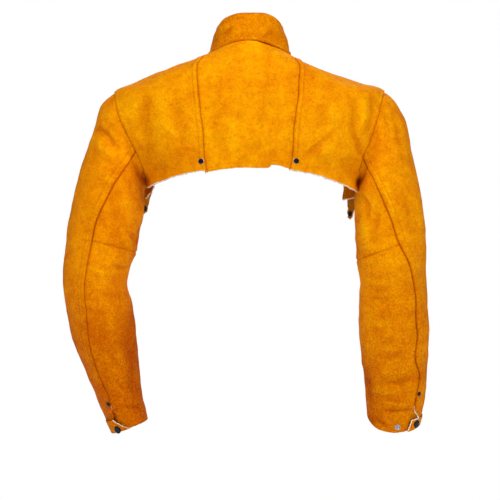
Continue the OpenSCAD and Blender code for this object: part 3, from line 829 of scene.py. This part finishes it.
def cuff_rag(grid):
    end = grid[-1]
    return shifted(grid, 0.1, 0.0009 * noise(end, 0.020, 41) + 0.0005 * noise(end, 0.006, 42))


# Back centre: rows from the neck to the hem, closest together where the seams leave the shoulder line.
top_rows = [np.linspace(0.0, 0.3, 6)[:-1], np.linspace(0.3, 1.2, 34)[:-1]]
rows = np.concatenate(top_rows + [np.linspace(1.2, HEM, 92)])
u = spaced(64) * 2 - 1
half = np.where(u[None, :] < 0, seam_half(LEFT, rows)[:, None], seam_half(RIGHT, rows)[:, None]) - GAP
leather("back_centre", to_hem(body(-90 + half * u[None, :], rows[:, None])), MIDDLE + (0, 0.02, 0),
        seams={"i0": LIGHT, "j0": PLAIN, "j1": PLAIN}, cuts=("i1",), stands_for=("back_centre_panel",),
        feather={"i1": 0.0005})

BACK_SIDE_TOP = 0.36  # the row where a back side panel starts


def armhole_rows(first):
    """Rows for a panel's edge down the shoulder line, round the armhole and down the side seam."""
    top, bottom = ARMHOLE_ROW - ARMHOLE_ROWS, ARMHOLE_ROW + ARMHOLE_ROWS
    around = ARMHOLE_ROW - ARMHOLE_ROWS * np.cos(np.linspace(0, np.pi, 65)[1:])
    return np.concatenate([first + (top - first) * spaced(44, 0.3), around, np.linspace(bottom, HEM, 11)[1:]])


def armhole_centre(side):
    c, s = cos_sin(DEGREES)
    return side_body(side, ARMHOLE_DEG * s, ARMHOLE_ROW - ARMHOLE_ROWS * c).mean(0)


def panel(side, first, far_angle, columns, back):
    """A back or front panel: columns from its seam or front edge to the armhole."""
    edge = armhole_rows(first)
    far = first + (HEM - first) * np.linspace(0, 1, len(edge)) ** 1.05
    u = spaced(columns)
    k = between(far, edge, u)
    arm = (armhole(edge) + HOLE_GAP) * (-1 if back else 1)
    angle = between(far_angle(far), arm, u)
    if back:  # the seam bends sharply near the neck, so each column keeps its share of its own row's width
        angle = far_angle(k) * (1 - u[None, :]) + arm[:, None] * u[None, :]
    return side_body(side, angle, k)


FRONT_EDGE_X = {LEFT: 0.030, RIGHT: -0.014}
for side in (LEFT, RIGHT):
    name, hole = NAME[side], armhole_centre(side)
    grid = panel(side, BACK_SIDE_TOP, lambda k, s=side: -90 + seam_half(s, k) + GAP, 60, True)
    leather("back_side_" + name, to_hem(grid, 0.12), MIDDLE + (0, 0.03, 0),
            seams={"i0": LIGHT, "j0": PLAIN, "j1": LIGHT}, cuts=("i1",), bands=(("j0", 0.008, 0.0006),),
            feather={"i1": 0.0020}, towards={"j1": hole}, stands_for=("back_side_panel_" + name,))
    grid = panel(side, 0.0, lambda k, s=side: front_angle(s, FRONT_EDGE_X[s], k), 84, False)
    seams, cuts = {"i0": LIGHT, "j1": LIGHT}, ("i1", "j0")
    if side == LEFT:  # the flap is sewn to this edge
        seams["j0"], cuts = LIGHT, ("i1",)
    leather("front_" + name, grid, MIDDLE, seams=seams, cuts=cuts, stands_for=("front_panel_" + name,),
            towards={"j1": hole}, feather=0.0012)

# ---- Sleeves ----

AXIS_ROWS = np.arange(0, CUFF + 0.01, 0.5)
AXIS = {side: sleeve(side, DEGREES[None, :], AXIS_ROWS[:, None]).mean(1) for side in (LEFT, RIGHT)}
SLIT_TOP = {LEFT: 12.15, RIGHT: 11.95}
TOP_COLUMNS, UNDER_COLUMNS = 96, 84
SLEEVE_ENDS = 0.6  # how much closer the columns are at both edges
WRINKLED = 0.9
WARM = {LEFT: 0.85, RIGHT: 0.35}
PALE_SEAM = {LEFT: 0.55, RIGHT: 0.1}  # how much fainter the back seam gets towards the forearm
# How strong the painted shade is on the outer side of the arm.
OUTER_SIDE_SHADE = {LEFT: 0.42, RIGHT: 0.25}
# Painted shade on the inner side: on the forearm, from which row to which it comes in, at the elbow and at the
# armpit.
INNER_SIDE_SHADE = {LEFT: (1.0, 7.8, 10.5, 0.8, 0.8), RIGHT: (0.95, 8.8, 11.8, 0.45, 0.3)}
REST_IN = {LEFT: 0.0075, RIGHT: 0.0060}  # the arm rests against the jacket's side
# Rows of equal height down the upper sleeve, after finer ones at the armhole.
row_steps = np.concatenate([[0], np.linspace(0.012, 0.055, 14), np.full(90, 0.062)])
UPPER_ROWS = np.cumsum(row_steps) / row_steps.sum() * ELBOW
LOWER_ROWS = ELBOW + (CUFF - ELBOW) * spaced(120, 0.35)


def sleeve_middle(side, k_rows):
    return along(AXIS[side], k_rows * 2)[:, None, :]


def slit(side, k):
    """Degrees that the edges part below the foot of the back seam: the top sleeve's and the under one's."""
    top = SLIT_TOP[side]
    low, lap = step(top + 0.05, CUFF, k), step(top, top + 0.25, k)
    return (low * 5, lap * -9) if side == LEFT else (low * 36, lap * -10 - 16 * step(12.3, 12.8, k))


def sleeve_height(side, p):
    """About which row of the sleeve a point near the cuff is on."""
    above, end = SLEEVE[side][CUFF - 1], SLEEVE[side][CUFF]
    a, b = (above[1] + above[3]) / 2, (end[1] + end[3]) / 2
    s = p[..., 1] / end[5]
    return CUFF - 1 + (p[..., 2] - a - s * above[6]) / (b - a + s * (end[6] - above[6]))


# The parts of the slit's cut edges that don't show the pale flesh side.
SLIT_HIDDEN = {LEFT: lambda p: (np.abs(sleeve_height(LEFT, p) - 12.7) > 0.42) | (p[:, 1] > -0.01),
               RIGHT: lambda p: (np.abs(p[:, 2] + 0.672) > 0.0105) | (p[:, 1] > 0.032) | (p[:, 0] < 0.29)}


def sleeve_part(side, part):
    """The top and the under sleeve above or below the elbow. They meet at the back and front seams."""
    name, lower = NAME[side], part == "lower"
    k = LOWER_ROWS if lower else UPPER_ROWS
    seam, middle = sleeve_seam(side, k), sleeve_middle(side, k)
    open_top, open_under = slit(side, k)
    # The seam ends at the slit, and its edges are cut below it.
    shut = 1 - step(SLIT_TOP[side], SLIT_TOP[side] + 0.25, k)
    back_seam = STRONG + (shut * (1 - PALE_SEAM[side] * step(5.5, 8, k)),)
    into_hole = {"i0": armhole_centre(side)}

    end = np.full(len(k), FRONT_SEAM - ARM_GAP)
    angle = between(seam + ARM_GAP + open_top, end, spaced(TOP_COLUMNS, SLEEVE_ENDS))
    grid = sleeve(side, angle, k[:, None])
    seams, lift = {"j0": back_seam, "j1": PLAIN}, 0.0
    if lower:
        grid = cuff_rag(grid)
    else:
        seams["i0"] = LIGHT
        lift = -0.0022 * (1 - step(0, 0.6, k))[:, None] * step(10, 34, angle - seam[:, None])
    # The wrinkles fade out at the armhole and, below the elbow, at the line where the two parts meet.
    # The outer side of the sleeve gets painted shade, growing from row 4 to row 9.
    top = leather(
        f"top_sleeve_{part}_of_{name}", grid, middle, seams=seams, cuts=("i1", "j0") if lower else (),
        stands_for=(f"top_sleeve_{part}_{name}",), body_name=None, bands=(("j0", 0.0125, 0.0014 * shut),),
        towards=into_hole, feather={"i1": -0.0006, "j0": 0.0014 * (1 - shut)}, split="i0" if lower else "i1",
        hide_cut=SLIT_HIDDEN[side], creased=WRINKLED, warm=WARM[side], lift=lift,
        painted_shade=OUTER_SIDE_SHADE[side] * bell(angle / 24) * step(4, 9, k)[:, None])[0]

    end = seam + 360 - ARM_GAP - open_under
    angle = between(np.full(len(k), FRONT_SEAM + ARM_GAP), end, spaced(UNDER_COLUMNS, SLEEVE_ENDS))
    grid = sleeve(side, angle, k[:, None])
    seams = {"j0": PLAIN, "j1": back_seam, "i0": LIGHT}
    if lower:
        grid = cuff_rag(grid)
    else:
        seams["i1"] = LIGHT
        near = np.clip(1 - ((angle - 182) / 52) ** 2, 0, 1) ** 2
        grid[..., 0] -= side * REST_IN[side] * near * (step(0.0, 0.7, k) * (1 - step(3.2, 5.2, k)))[:, None]
    # At the slit the under sleeve's edge dips behind the top sleeve's.
    at_slit = step(SLIT_TOP[side] - 0.03, SLIT_TOP[side] + 0.25, k)[:, None]
    # Painted shade on the inner side of the arm: along the forearm, at the inner elbow and at the armpit.
    forearm, first, full, elbow, armpit = INNER_SIDE_SHADE[side]
    painted_shade = forearm * step(first, full, k) + elbow * bell((k - 5.4) / 0.9) + armpit * bell((k - 1.2) / 1.3)
    inner = bell((angle - 184) / (34 + 12 * step(8, 11, k)[:, None]))
    under = leather(
        f"under_sleeve_{part}_of_{name}", grid, middle, seams=seams, cuts=("i1",) if lower else (),
        stands_for=(f"under_sleeve_{part}_{name}",), body_name=None, towards={} if lower else into_hole,
        feather=-0.0006, hide_cut=lambda p: p[:, 2] < 9, creased=WRINKLED, warm=WARM[side],
        lift=-0.0034 * at_slit * step(-13, -3, angle - (seam + 360)[:, None]), painted_shade=inner * painted_shade[:, None])[0]
    return top, under


for side in (LEFT, RIGHT):
    name = NAME[side]
    for obj in sleeve_part(side, "upper"):
        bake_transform(obj)
    for obj in sleeve_part(side, "lower"):
        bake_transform(obj)

# ---- Collar: the outer piece and its lining meet at the rounded top edge ----

ends = spaced(150, 0.5)
grid = collar((-263 + (83 + 263) * ends)[None, :], spaced(34, 0.5)[:, None])
leather("collar", grid, NECK, seams={"i0": PLAIN, "i1": LIGHT}, cuts=("j0", "j1"),
        stands_for=("collar_outer",), bands=(("i0", 0.0075, 0.0018),), amount=0.8, feather=0.0004, tone=0.50,
        creased=0.5, warm=0.3)
grid = collar((-262 + (82 + 262) * ends)[None, :], (-0.09 + 1.075 * spaced(34, 0.5))[:, None])
leather("collar_inside", grid - outward(grid, NECK)[0] * 0.0026, NECK, stands_for=("collar_lining",),
        amount=0.55, slot="lining_leather")

# ---- Facing behind the right front's edge, and the flap that laps over it from the left front ----


def front_strip(x, rows):
    """A strip of the front, with a column for each x."""
    return np.stack([side_body(RIGHT, front_angle(RIGHT, v, rows), rows) for v in x], 1)


grid = front_strip(0.026 - np.linspace(0, 1, 18) * 0.038, np.linspace(0.3, 8.9, 90))
leather("front_facing", grid - outward(grid, MIDDLE)[0] * 0.00405, MIDDLE, cuts=("i0", "i1", "j0", "j1"),
        stands_for=("front_facing_right",), amount=0.2, slot="lining_leather", feather=0.0004)
x = 0.016 - spaced(36, 0.4) * 0.0455
grid = front_strip(x, np.linspace(0.2, HEM, 110))
rise = 0.0057 * step(-0.0300, -0.0135, x) - 0.0010 * step(0.006, 0.016, x)
_, flap_p, flap_n = leather(
    "flap", grid, MIDDLE, cuts=("i0", "i1", "j0"), seams={"j1": LIGHT}, stands_for=("front_flap",),
    body_name="front_flap", lift=rise[None, :], amount=0.25, feather=0.0006)

# ---- Collar tab, with one round end ----

k = 0.78 - 0.56 * spaced(30, 0.3)
t = np.linspace(0, 1, 60)[None, :]
round_end = np.sqrt(np.clip(1 - ((k - 0.5) / 0.28) ** 2, 0, 1))[:, None]
angle = 62 + (1 - round_end) * 9 * (1 - t) + 50 * t
rise = 0.0026 + 0.00365 * (1 - step(92, 110, angle))
_, tab_p, tab_n = leather(
    "collar_strap", collar(angle, k[:, None]), NECK - (0, 0, 0.01), cuts=("i0", "i1", "j0", "j1"),
    stands_for=("collar_tab",), body_name="collar_tab", lift=rise, amount=0.15, feather=0.0005)

# ---- Cuff tabs ----

# Degrees of the sewn edge and of the free edge at the cuff and at the top, and the top row.
CUFF_TAB = {LEFT: (-12, -92, -56, 12.5), RIGHT: (-8, -62, -57, 12.45)}
CUFF_TAB_FEATHER = {LEFT: 0.0008, RIGHT: 0.0011}
CUFF_TAB_HIDDEN = {LEFT: lambda p: p[:, 0] < -0.2540, RIGHT: lambda p: p[:, 0] > 0.3175}
cuff_tabs = {}
for side in (LEFT, RIGHT):
    name = NAME[side]
    near, low, high, top = CUFF_TAB[side]
    t = spaced(30, 0.3)
    u = spaced(40, 0.3)
    angle = between(np.full(len(t), near), high + (low - high) * t, u)
    top_here = top if side == LEFT else top + 0.2 * (1 - step(0.1, 0.8, u))
    grid = sleeve(side, angle, top_here + (CUFF - top_here) * t[:, None])
    snap = CUFF_SNAP_TAB[side][0]
    rise = 0.0024 + 0.00385 * step(near, near + (snap - near) * 0.75, angle)
    cuff_tabs[side] = leather(
        "cuff_strap_" + name, grid, sleeve_middle(side, top + (CUFF - top) * t), cuts=("i0", "i1", "j1"),
        hide_cut=CUFF_TAB_HIDDEN[side], stands_for=("cuff_tab_" + name,), body_name="cuff_tab_" + name,
        lift=rise, amount=0.1, feather={"i0": CUFF_TAB_FEATHER[side], "i1": 0.0004, "j1": 0.0012})

# ---- Tabs for a bib, below the sides of the hem ----

BIB_AT = {LEFT: np.array([-193, 48, -252]) * MM, RIGHT: np.array([195, 56, -262]) * MM}
BIB_TURN = {LEFT: 38, RIGHT: 42}
BIB_LEAN = {LEFT: 8, RIGHT: -6}
ROOT_TOP = -0.242


def bib_axes(side):
    (ct, st), (cl, sl) = cos_sin(side * BIB_TURN[side]), cos_sin(-side * BIB_LEAN[side])
    return np.array([[cl, 0, sl], [0, 1, 0], [-sl, 0, cl]]) @ np.array([[ct, -st, 0], [st, ct, 0], [0, 0, 1]])


def bib_strap(side):
    """A narrow strap with a round end, hanging from its root."""
    name, axes = NAME[side], bib_axes(side)
    v, w = spaced(56, 0.2)[:, None], (spaced(26, 0.3) * 2 - 1)[None, :]
    half = 0.0145 - 0.0072 * step(0.1, 0.85, v)
    half = half * np.sqrt(np.clip(1 - np.clip((v - 0.80) / 0.205, 0, 1) ** 2, 0.02, 1))
    y = half * w
    grid = BIB_AT[side] + np.stack([0 * y, y, 0.007 - v * 0.054 + 0 * y], -1) @ axes.T
    curl = 0.0010 * np.sin(v * 5) * w**2 + 0.0009 * noise(grid, 0.012, 51) * np.clip(1 - 3 * v, 0, 1)
    inward = -0.0035 * (1 - step(0.0, 0.22, v)) + 0.001
    grid = grid + (0.0008 * noise(grid, 0.006, 52) * (np.abs(w) > 0.98))[..., None] * axes[:, 1]
    leather("bib_strap_" + name, grid, BIB_AT[side] - axes[:, 0] * side * 0.1,
            cuts=("i0", "i1", "j0", "j1"), stands_for=("bib_tab_" + name,), body_name="bib_tab_" + name,
            lift=curl + inward, amount=0.1, feather=0.0007)


def bib_root(side):
    """The strap's wide root, which is sewn inside the hem. Its lower edge is cut."""
    u, v = spaced(34, 0.3)[None, :], spaced(24, 0.3)[:, None]
    if side == RIGHT:
        x, y = 0.1765 + 0.0285 * u + 0.0012 * np.sin(5 * v), 0.045 - 0.010 * u - 0.004 * np.sin(3 * u)
        low = -0.2715 + 0.0045 * u + 0.013 * step(0.70, 1.0, u)
    else:
        x, y = -0.1830 - 0.0145 * u + 0.0022 * np.sin(5.5 * v + 1.0 * u) * v, 0.034 + 0.012 * u
        low = -0.2585 - 0.0105 * step(0.1, 1.0, u)
    grid = np.stack([x, y + 0.0025 * np.sin(4 * v), ROOT_TOP + (low - ROOT_TOP) * v], -1)
    leather("bib_strap_root_" + NAME[side], grid, grid.mean((0, 1)) + (0, 0.05, 0), cuts=("i1", "j0", "j1"),
            hide_cut=lambda p: p[:, 2] > ROOT_TOP - 0.004, amount=0.15, tone=0.5,
            feather={"i1": 0.0014, "j0": 0.0004, "j1": 0.0014})


for side in (LEFT, RIGHT):
    bib_strap(side)
    bib_root(side)

# ---- Stitches ----


def ring_points(centre, across, up, r, steps):
    w = 2 * np.pi * np.arange(steps)[:, None] / steps
    return centre + (across * np.cos(w) + up * np.sin(w)) * r


def tube_faces(base, rings, steps):
    """Faces of a closed tube, whose rings of points follow one another from number base."""
    faces = []
    for q in range(rings - 1):
        lo, hi = base + q * steps, base + (q + 1) * steps
        for b in range(steps):
            c = (b + 1) % steps
            faces.append([lo + b, lo + c, hi + c, hi + b])
    faces.append([base + b for b in range(steps - 1, -1, -1)])
    faces.append([base + (rings - 1) * steps + b for b in range(steps)])
    return faces


PITCH, STITCH, THREAD_R = 0.0042, 0.0029, 0.00036
STITCH_RINGS, STITCH_STEPS = 7, 6


def stitches(name, line, up, body_name):
    """Stitches along a line of points, each a short bent piece of thread with its ends in the leather."""
    s = np.concatenate([[0], np.cumsum(np.linalg.norm(np.diff(line, axis=0), axis=1))])
    arch = np.sin(np.linspace(0, np.pi, STITCH_RINGS)) ** 0.6
    verts, faces = [], []
    count = int(s[-1] / PITCH)
    for c in range(count):
        middle = (c + 0.5) * s[-1] / count
        t = np.linspace(middle - STITCH / 2, middle + STITCH / 2, STITCH_RINGS)
        path = np.stack([np.interp(t, s, line[:, a]) for a in range(3)], -1)
        out = unit(np.stack([np.interp(t, s, up[:, a]) for a in range(3)], -1))
        path = path + out * (arch * (THREAD_R * 1.5 + 0.0001) - THREAD_R * 0.9)[:, None]
        ahead = unit(np.gradient(path, axis=0))
        across = unit(np.cross(ahead, out))
        faces.extend(tube_faces(len(verts), STITCH_RINGS, STITCH_STEPS))
        for q in range(STITCH_RINGS):
            r = THREAD_R * (0.55 if q in (0, STITCH_RINGS - 1) else 1)
            verts.extend(ring_points(path[q], across[q], np.cross(across[q], ahead[q]), r, STITCH_STEPS))
    obj = mesh_piece(name, verts, faces)
    obj.data.materials.append(THREAD)
    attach(obj, body_name)


stitches("flap_stitches", flap_p[2:-2, 30], flap_n[2:-2, 30], "front_flap")
stitches("flap_edge_stitches", flap_p[2:-2, 4], flap_n[2:-2, 4], "front_flap")
for q, col in enumerate((48, 53)):
    stitches(f"collar_strap_stitches_{q}", tab_p[3:-3, col], tab_n[3:-3, col], "collar_tab")
for side in (LEFT, RIGHT):
    _, p, n = cuff_tabs[side]
    stitches("cuff_strap_stitches_" + NAME[side], p[2:-2, 4], n[2:-2, 4], "cuff_tab_" + NAME[side])

# ---- Press studs and rivets ----

LATHE_STEPS = 40


def lathe(profile, seats, name, material, body_name, stands_for, other=None, bands=()):
    """Turned parts. profile is (radius, height) pairs in millimetres from the foot round to the top's middle.

    bands are the stretches of the profile that take the other material.
    """
    verts, faces = [], []
    for at, way in seats:
        across = unit(np.cross(way, [0.3, 0.2, 0.9] if abs(way[2]) < 0.9 else [1, 0, 0]))
        up = np.cross(way, across)
        faces.extend(tube_faces(len(verts), len(profile), LATHE_STEPS))
        for r, h in profile:
            verts.extend(ring_points(at + way * h * MM, across, up, r * MM, LATHE_STEPS))
    stretches = [q for q in range(len(profile) - 1) for _ in range(LATHE_STEPS)] + [-1, len(profile) - 2]
    obj = mesh_piece(name, verts, faces, [int(q in bands) for q in stretches] * len(seats))
    for m in (material, other) if other else (material,):
        obj.data.materials.append(m)
    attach(obj, body_name)
    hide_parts(stands_for)


CAP = [(6.2, 0.0), (7.2, 0.05), (7.45, 0.3), (7.45, 0.62), (7.2, 0.95), (6.6, 1.35), (5.6, 1.72), (4.2, 1.98),
       (2.6, 2.13), (1.2, 2.19), (0.3, 2.2)]
RIVET = [(4.4, 0.0), (5.2, 0.05), (5.45, 0.3), (5.4, 0.6), (5.0, 0.95), (4.2, 1.25), (3.2, 1.3), (2.9, 1.12),
         (2.6, 1.0), (1.6, 1.02), (0.5, 1.05)]
SMALL_RIVET = [(3.6, 0.0), (4.2, 0.05), (4.45, 0.3), (4.4, 0.6), (3.9, 1.0), (3.0, 1.35), (1.8, 1.6),
               (0.6, 1.7), (0.2, 1.71)]
STUD = [(4.9, 0.0), (5.4, 0.08), (5.5, 0.35), (5.35, 0.62), (4.9, 0.78), (4.0, 0.72), (3.0, 0.80), (2.5, 1.0),
        (2.35, 1.5), (2.6, 1.95), (3.0, 2.25), (3.0, 2.6), (2.7, 2.9), (2.0, 3.0), (1.2, 2.9), (0.9, 2.5),
        (0.3, 2.45)]
CLEAR = 0.00015  # metal stands this far off the leather
LAP, ROOM = 0.0037, 0.00055  # a lapping piece's inner side, and how much further out a tab's cap sits
CAP_UP = LAP + LEATHER_T + CLEAR


def lifted(spot, by):
    """A seat moved out by that much."""
    at, way = spot
    return at + way * by, way


lathe(CAP, [(front_spot(k) + FRONT_DIR * CAP_UP, FRONT_DIR) for k in FRONT_SNAP_ROWS], "flap_caps", BLACK,
      "front_flap", "front_snap_caps")
lathe(CAP, [lifted(collar_snap(), CAP_UP + ROOM)], "collar_strap_cap", BLACK, "collar_tab", "collar_snap_cap")
lathe(RIVET, [lifted(back_rivet(s), CLEAR) for s in (LEFT, RIGHT)], "rivets_of_back", BLACK, "torso",
      "back_rivets", other=NICKEL, bands=(0, 1, 2, 3))
for side in (LEFT, RIGHT):
    name = NAME[side]
    cap = lifted(sleeve_seat(side, CUFF_SNAP_TAB[side]), CAP_UP + ROOM)
    lathe(CAP, [cap], "cuff_cap_" + name, BLACK, "cuff_tab_" + name, "cuff_snap_cap_" + name)
    rivet = lifted(sleeve_seat(side, CUFF_RIVET[side]), CLEAR + 0.0004)
    lathe(SMALL_RIVET, [rivet], "cuff_rivet_head_" + name, BLACK, "forearm_" + name, "cuff_rivet_" + name)
    stud = lifted(sleeve_seat(side, CUFF_SNAP_SLEEVE[side]), CLEAR)
    lathe(STUD, [stud], "cuff_stud_" + name, NICKEL, "forearm_" + name, "cuff_snap_stud_" + name,
          other=BLACK, bands=(5, 6, 7, 8, 14, 15, 16))
    axes = bib_axes(side)
    stud = BIB_AT[side] + axes @ np.array([side * 0.001, 0, -0.037]), axes[:, 0] * side
    lathe(STUD, [stud], "bib_stud_of_" + name, BLACK, "bib_tab_" + name, "bib_stud_" + name)

# The CAD nodes that still show are metal.
slots = {s["node"]: s["material_slot"] for s in frame["record"]["subparts"]}
for node, obj in frame["nodes"].items():
    if not obj.hide_render:
        obj.data.materials.clear()
        obj.data.materials.append(BLACK if slots.get(node) == "dark_metal" else NICKEL)

# ---- Camera, floor and light ----

LENS, SENSOR = 400, 36  # millimetres
VIEW = 0.94  # how wide the view is at the jacket
scene = bpy.context.scene
scene.view_settings.view_transform = "Standard"
cam = bpy.data.objects.new("camera", bpy.data.cameras.new("camera"))
scene.collection.objects.link(cam)
cam.data.lens, cam.data.sensor_width = LENS, SENSOR
cam.location = (0.001, -VIEW * LENS / SENSOR, -0.367)
cam.rotation_euler = (math.pi / 2, 0, 0)
scene.camera = cam

FLOOR_R, FLOOR_Z, FLOOR_STEPS = 1.3, -0.90, 96
floor_me = bpy.data.meshes.new("floor")
rim = ring_points(np.zeros(3), np.array([1, 0, 0]), np.array([0, 1, 0]), FLOOR_R, FLOOR_STEPS)
floor_me.from_pydata(rim.tolist(), [], [list(range(FLOOR_STEPS))])
floor = bpy.data.objects.new("floor", floor_me)
scene.collection.objects.link(floor)
floor.location.z = FLOOR_Z
m, nt, bsdf = nodes_of("floor_paint")
co = object_coords(nt)
paint = ramp(nt, noise_node(nt, co, 3, 2), [(0.3, (0.90, 0.90, 0.90)), (0.7, (0.93, 0.93, 0.93))])
nt.links.new(paint, bsdf.inputs["Base Color"])
set_inputs(bsdf, {"Roughness": 0.9, "Emission Color": (1, 1, 1, 1)})
far = nt.nodes.new("ShaderNodeVectorMath")
far.operation = "LENGTH"
nt.links.new(co, far.inputs[0])
# The floor glows more towards its rim, so that its end isn't seen.
glow = map_range(nt, far.outputs["Value"], 0.30, 1.0)
glow.interpolation_type = "SMOOTHSTEP"
set_inputs(glow, {"From Min": 0.45, "From Max": 1.15})
nt.links.new(glow.outputs[0], bsdf.inputs["Emission Strength"])
floor_me.materials.append(m)

# The world is white at the height of the camera, and dim above and below it.
world = bpy.data.worlds.new("studio")
scene.world = world
world.use_nodes = True
nt = world.node_tree
sep = nt.nodes.new("ShaderNodeSeparateXYZ")
nt.links.new(nt.nodes.new("ShaderNodeTexCoord").outputs["Generated"], sep.inputs[0])
level = math_node(nt, "ABSOLUTE", sep.outputs["Z"])
DIM, DIMMER = (0.20, 0.20, 0.20), (0.17, 0.17, 0.175)
sky = ramp(nt, level, [(0.0, WHITE), (0.055, WHITE), (0.10, DIM), (1.0, DIMMER)])
nt.links.new(sky, nt.nodes["Background"].inputs["Color"])
nt.nodes["Background"].inputs["Strength"].default_value = 1.0


def soft_light(name, place, aim, size, watts):
    data = bpy.data.lights.new(name, "AREA")
    data.shape, data.size, data.energy = "DISK", size, watts
    obj = bpy.data.objects.new(name, data)
    scene.collection.objects.link(obj)
    obj.location = place
    obj.rotation_euler = (Vector(aim) - Vector(place)).to_track_quat("-Z", "Y").to_euler()


soft_light("key", (0.10, -1.15, 1.15), (0.02, 0, -0.27), 0.40, 19.5)
soft_light("left", (-1.7, -1.4, 0.65), (0, 0, -0.2), 0.5, 14.5)
soft_light("right", (1.7, -1.4, 0.65), (0, 0, -0.2), 0.5, 16)
soft_light("rear", (0.2, 2.0, 1.4), (0, 0, -0.3), 1.4, 22)
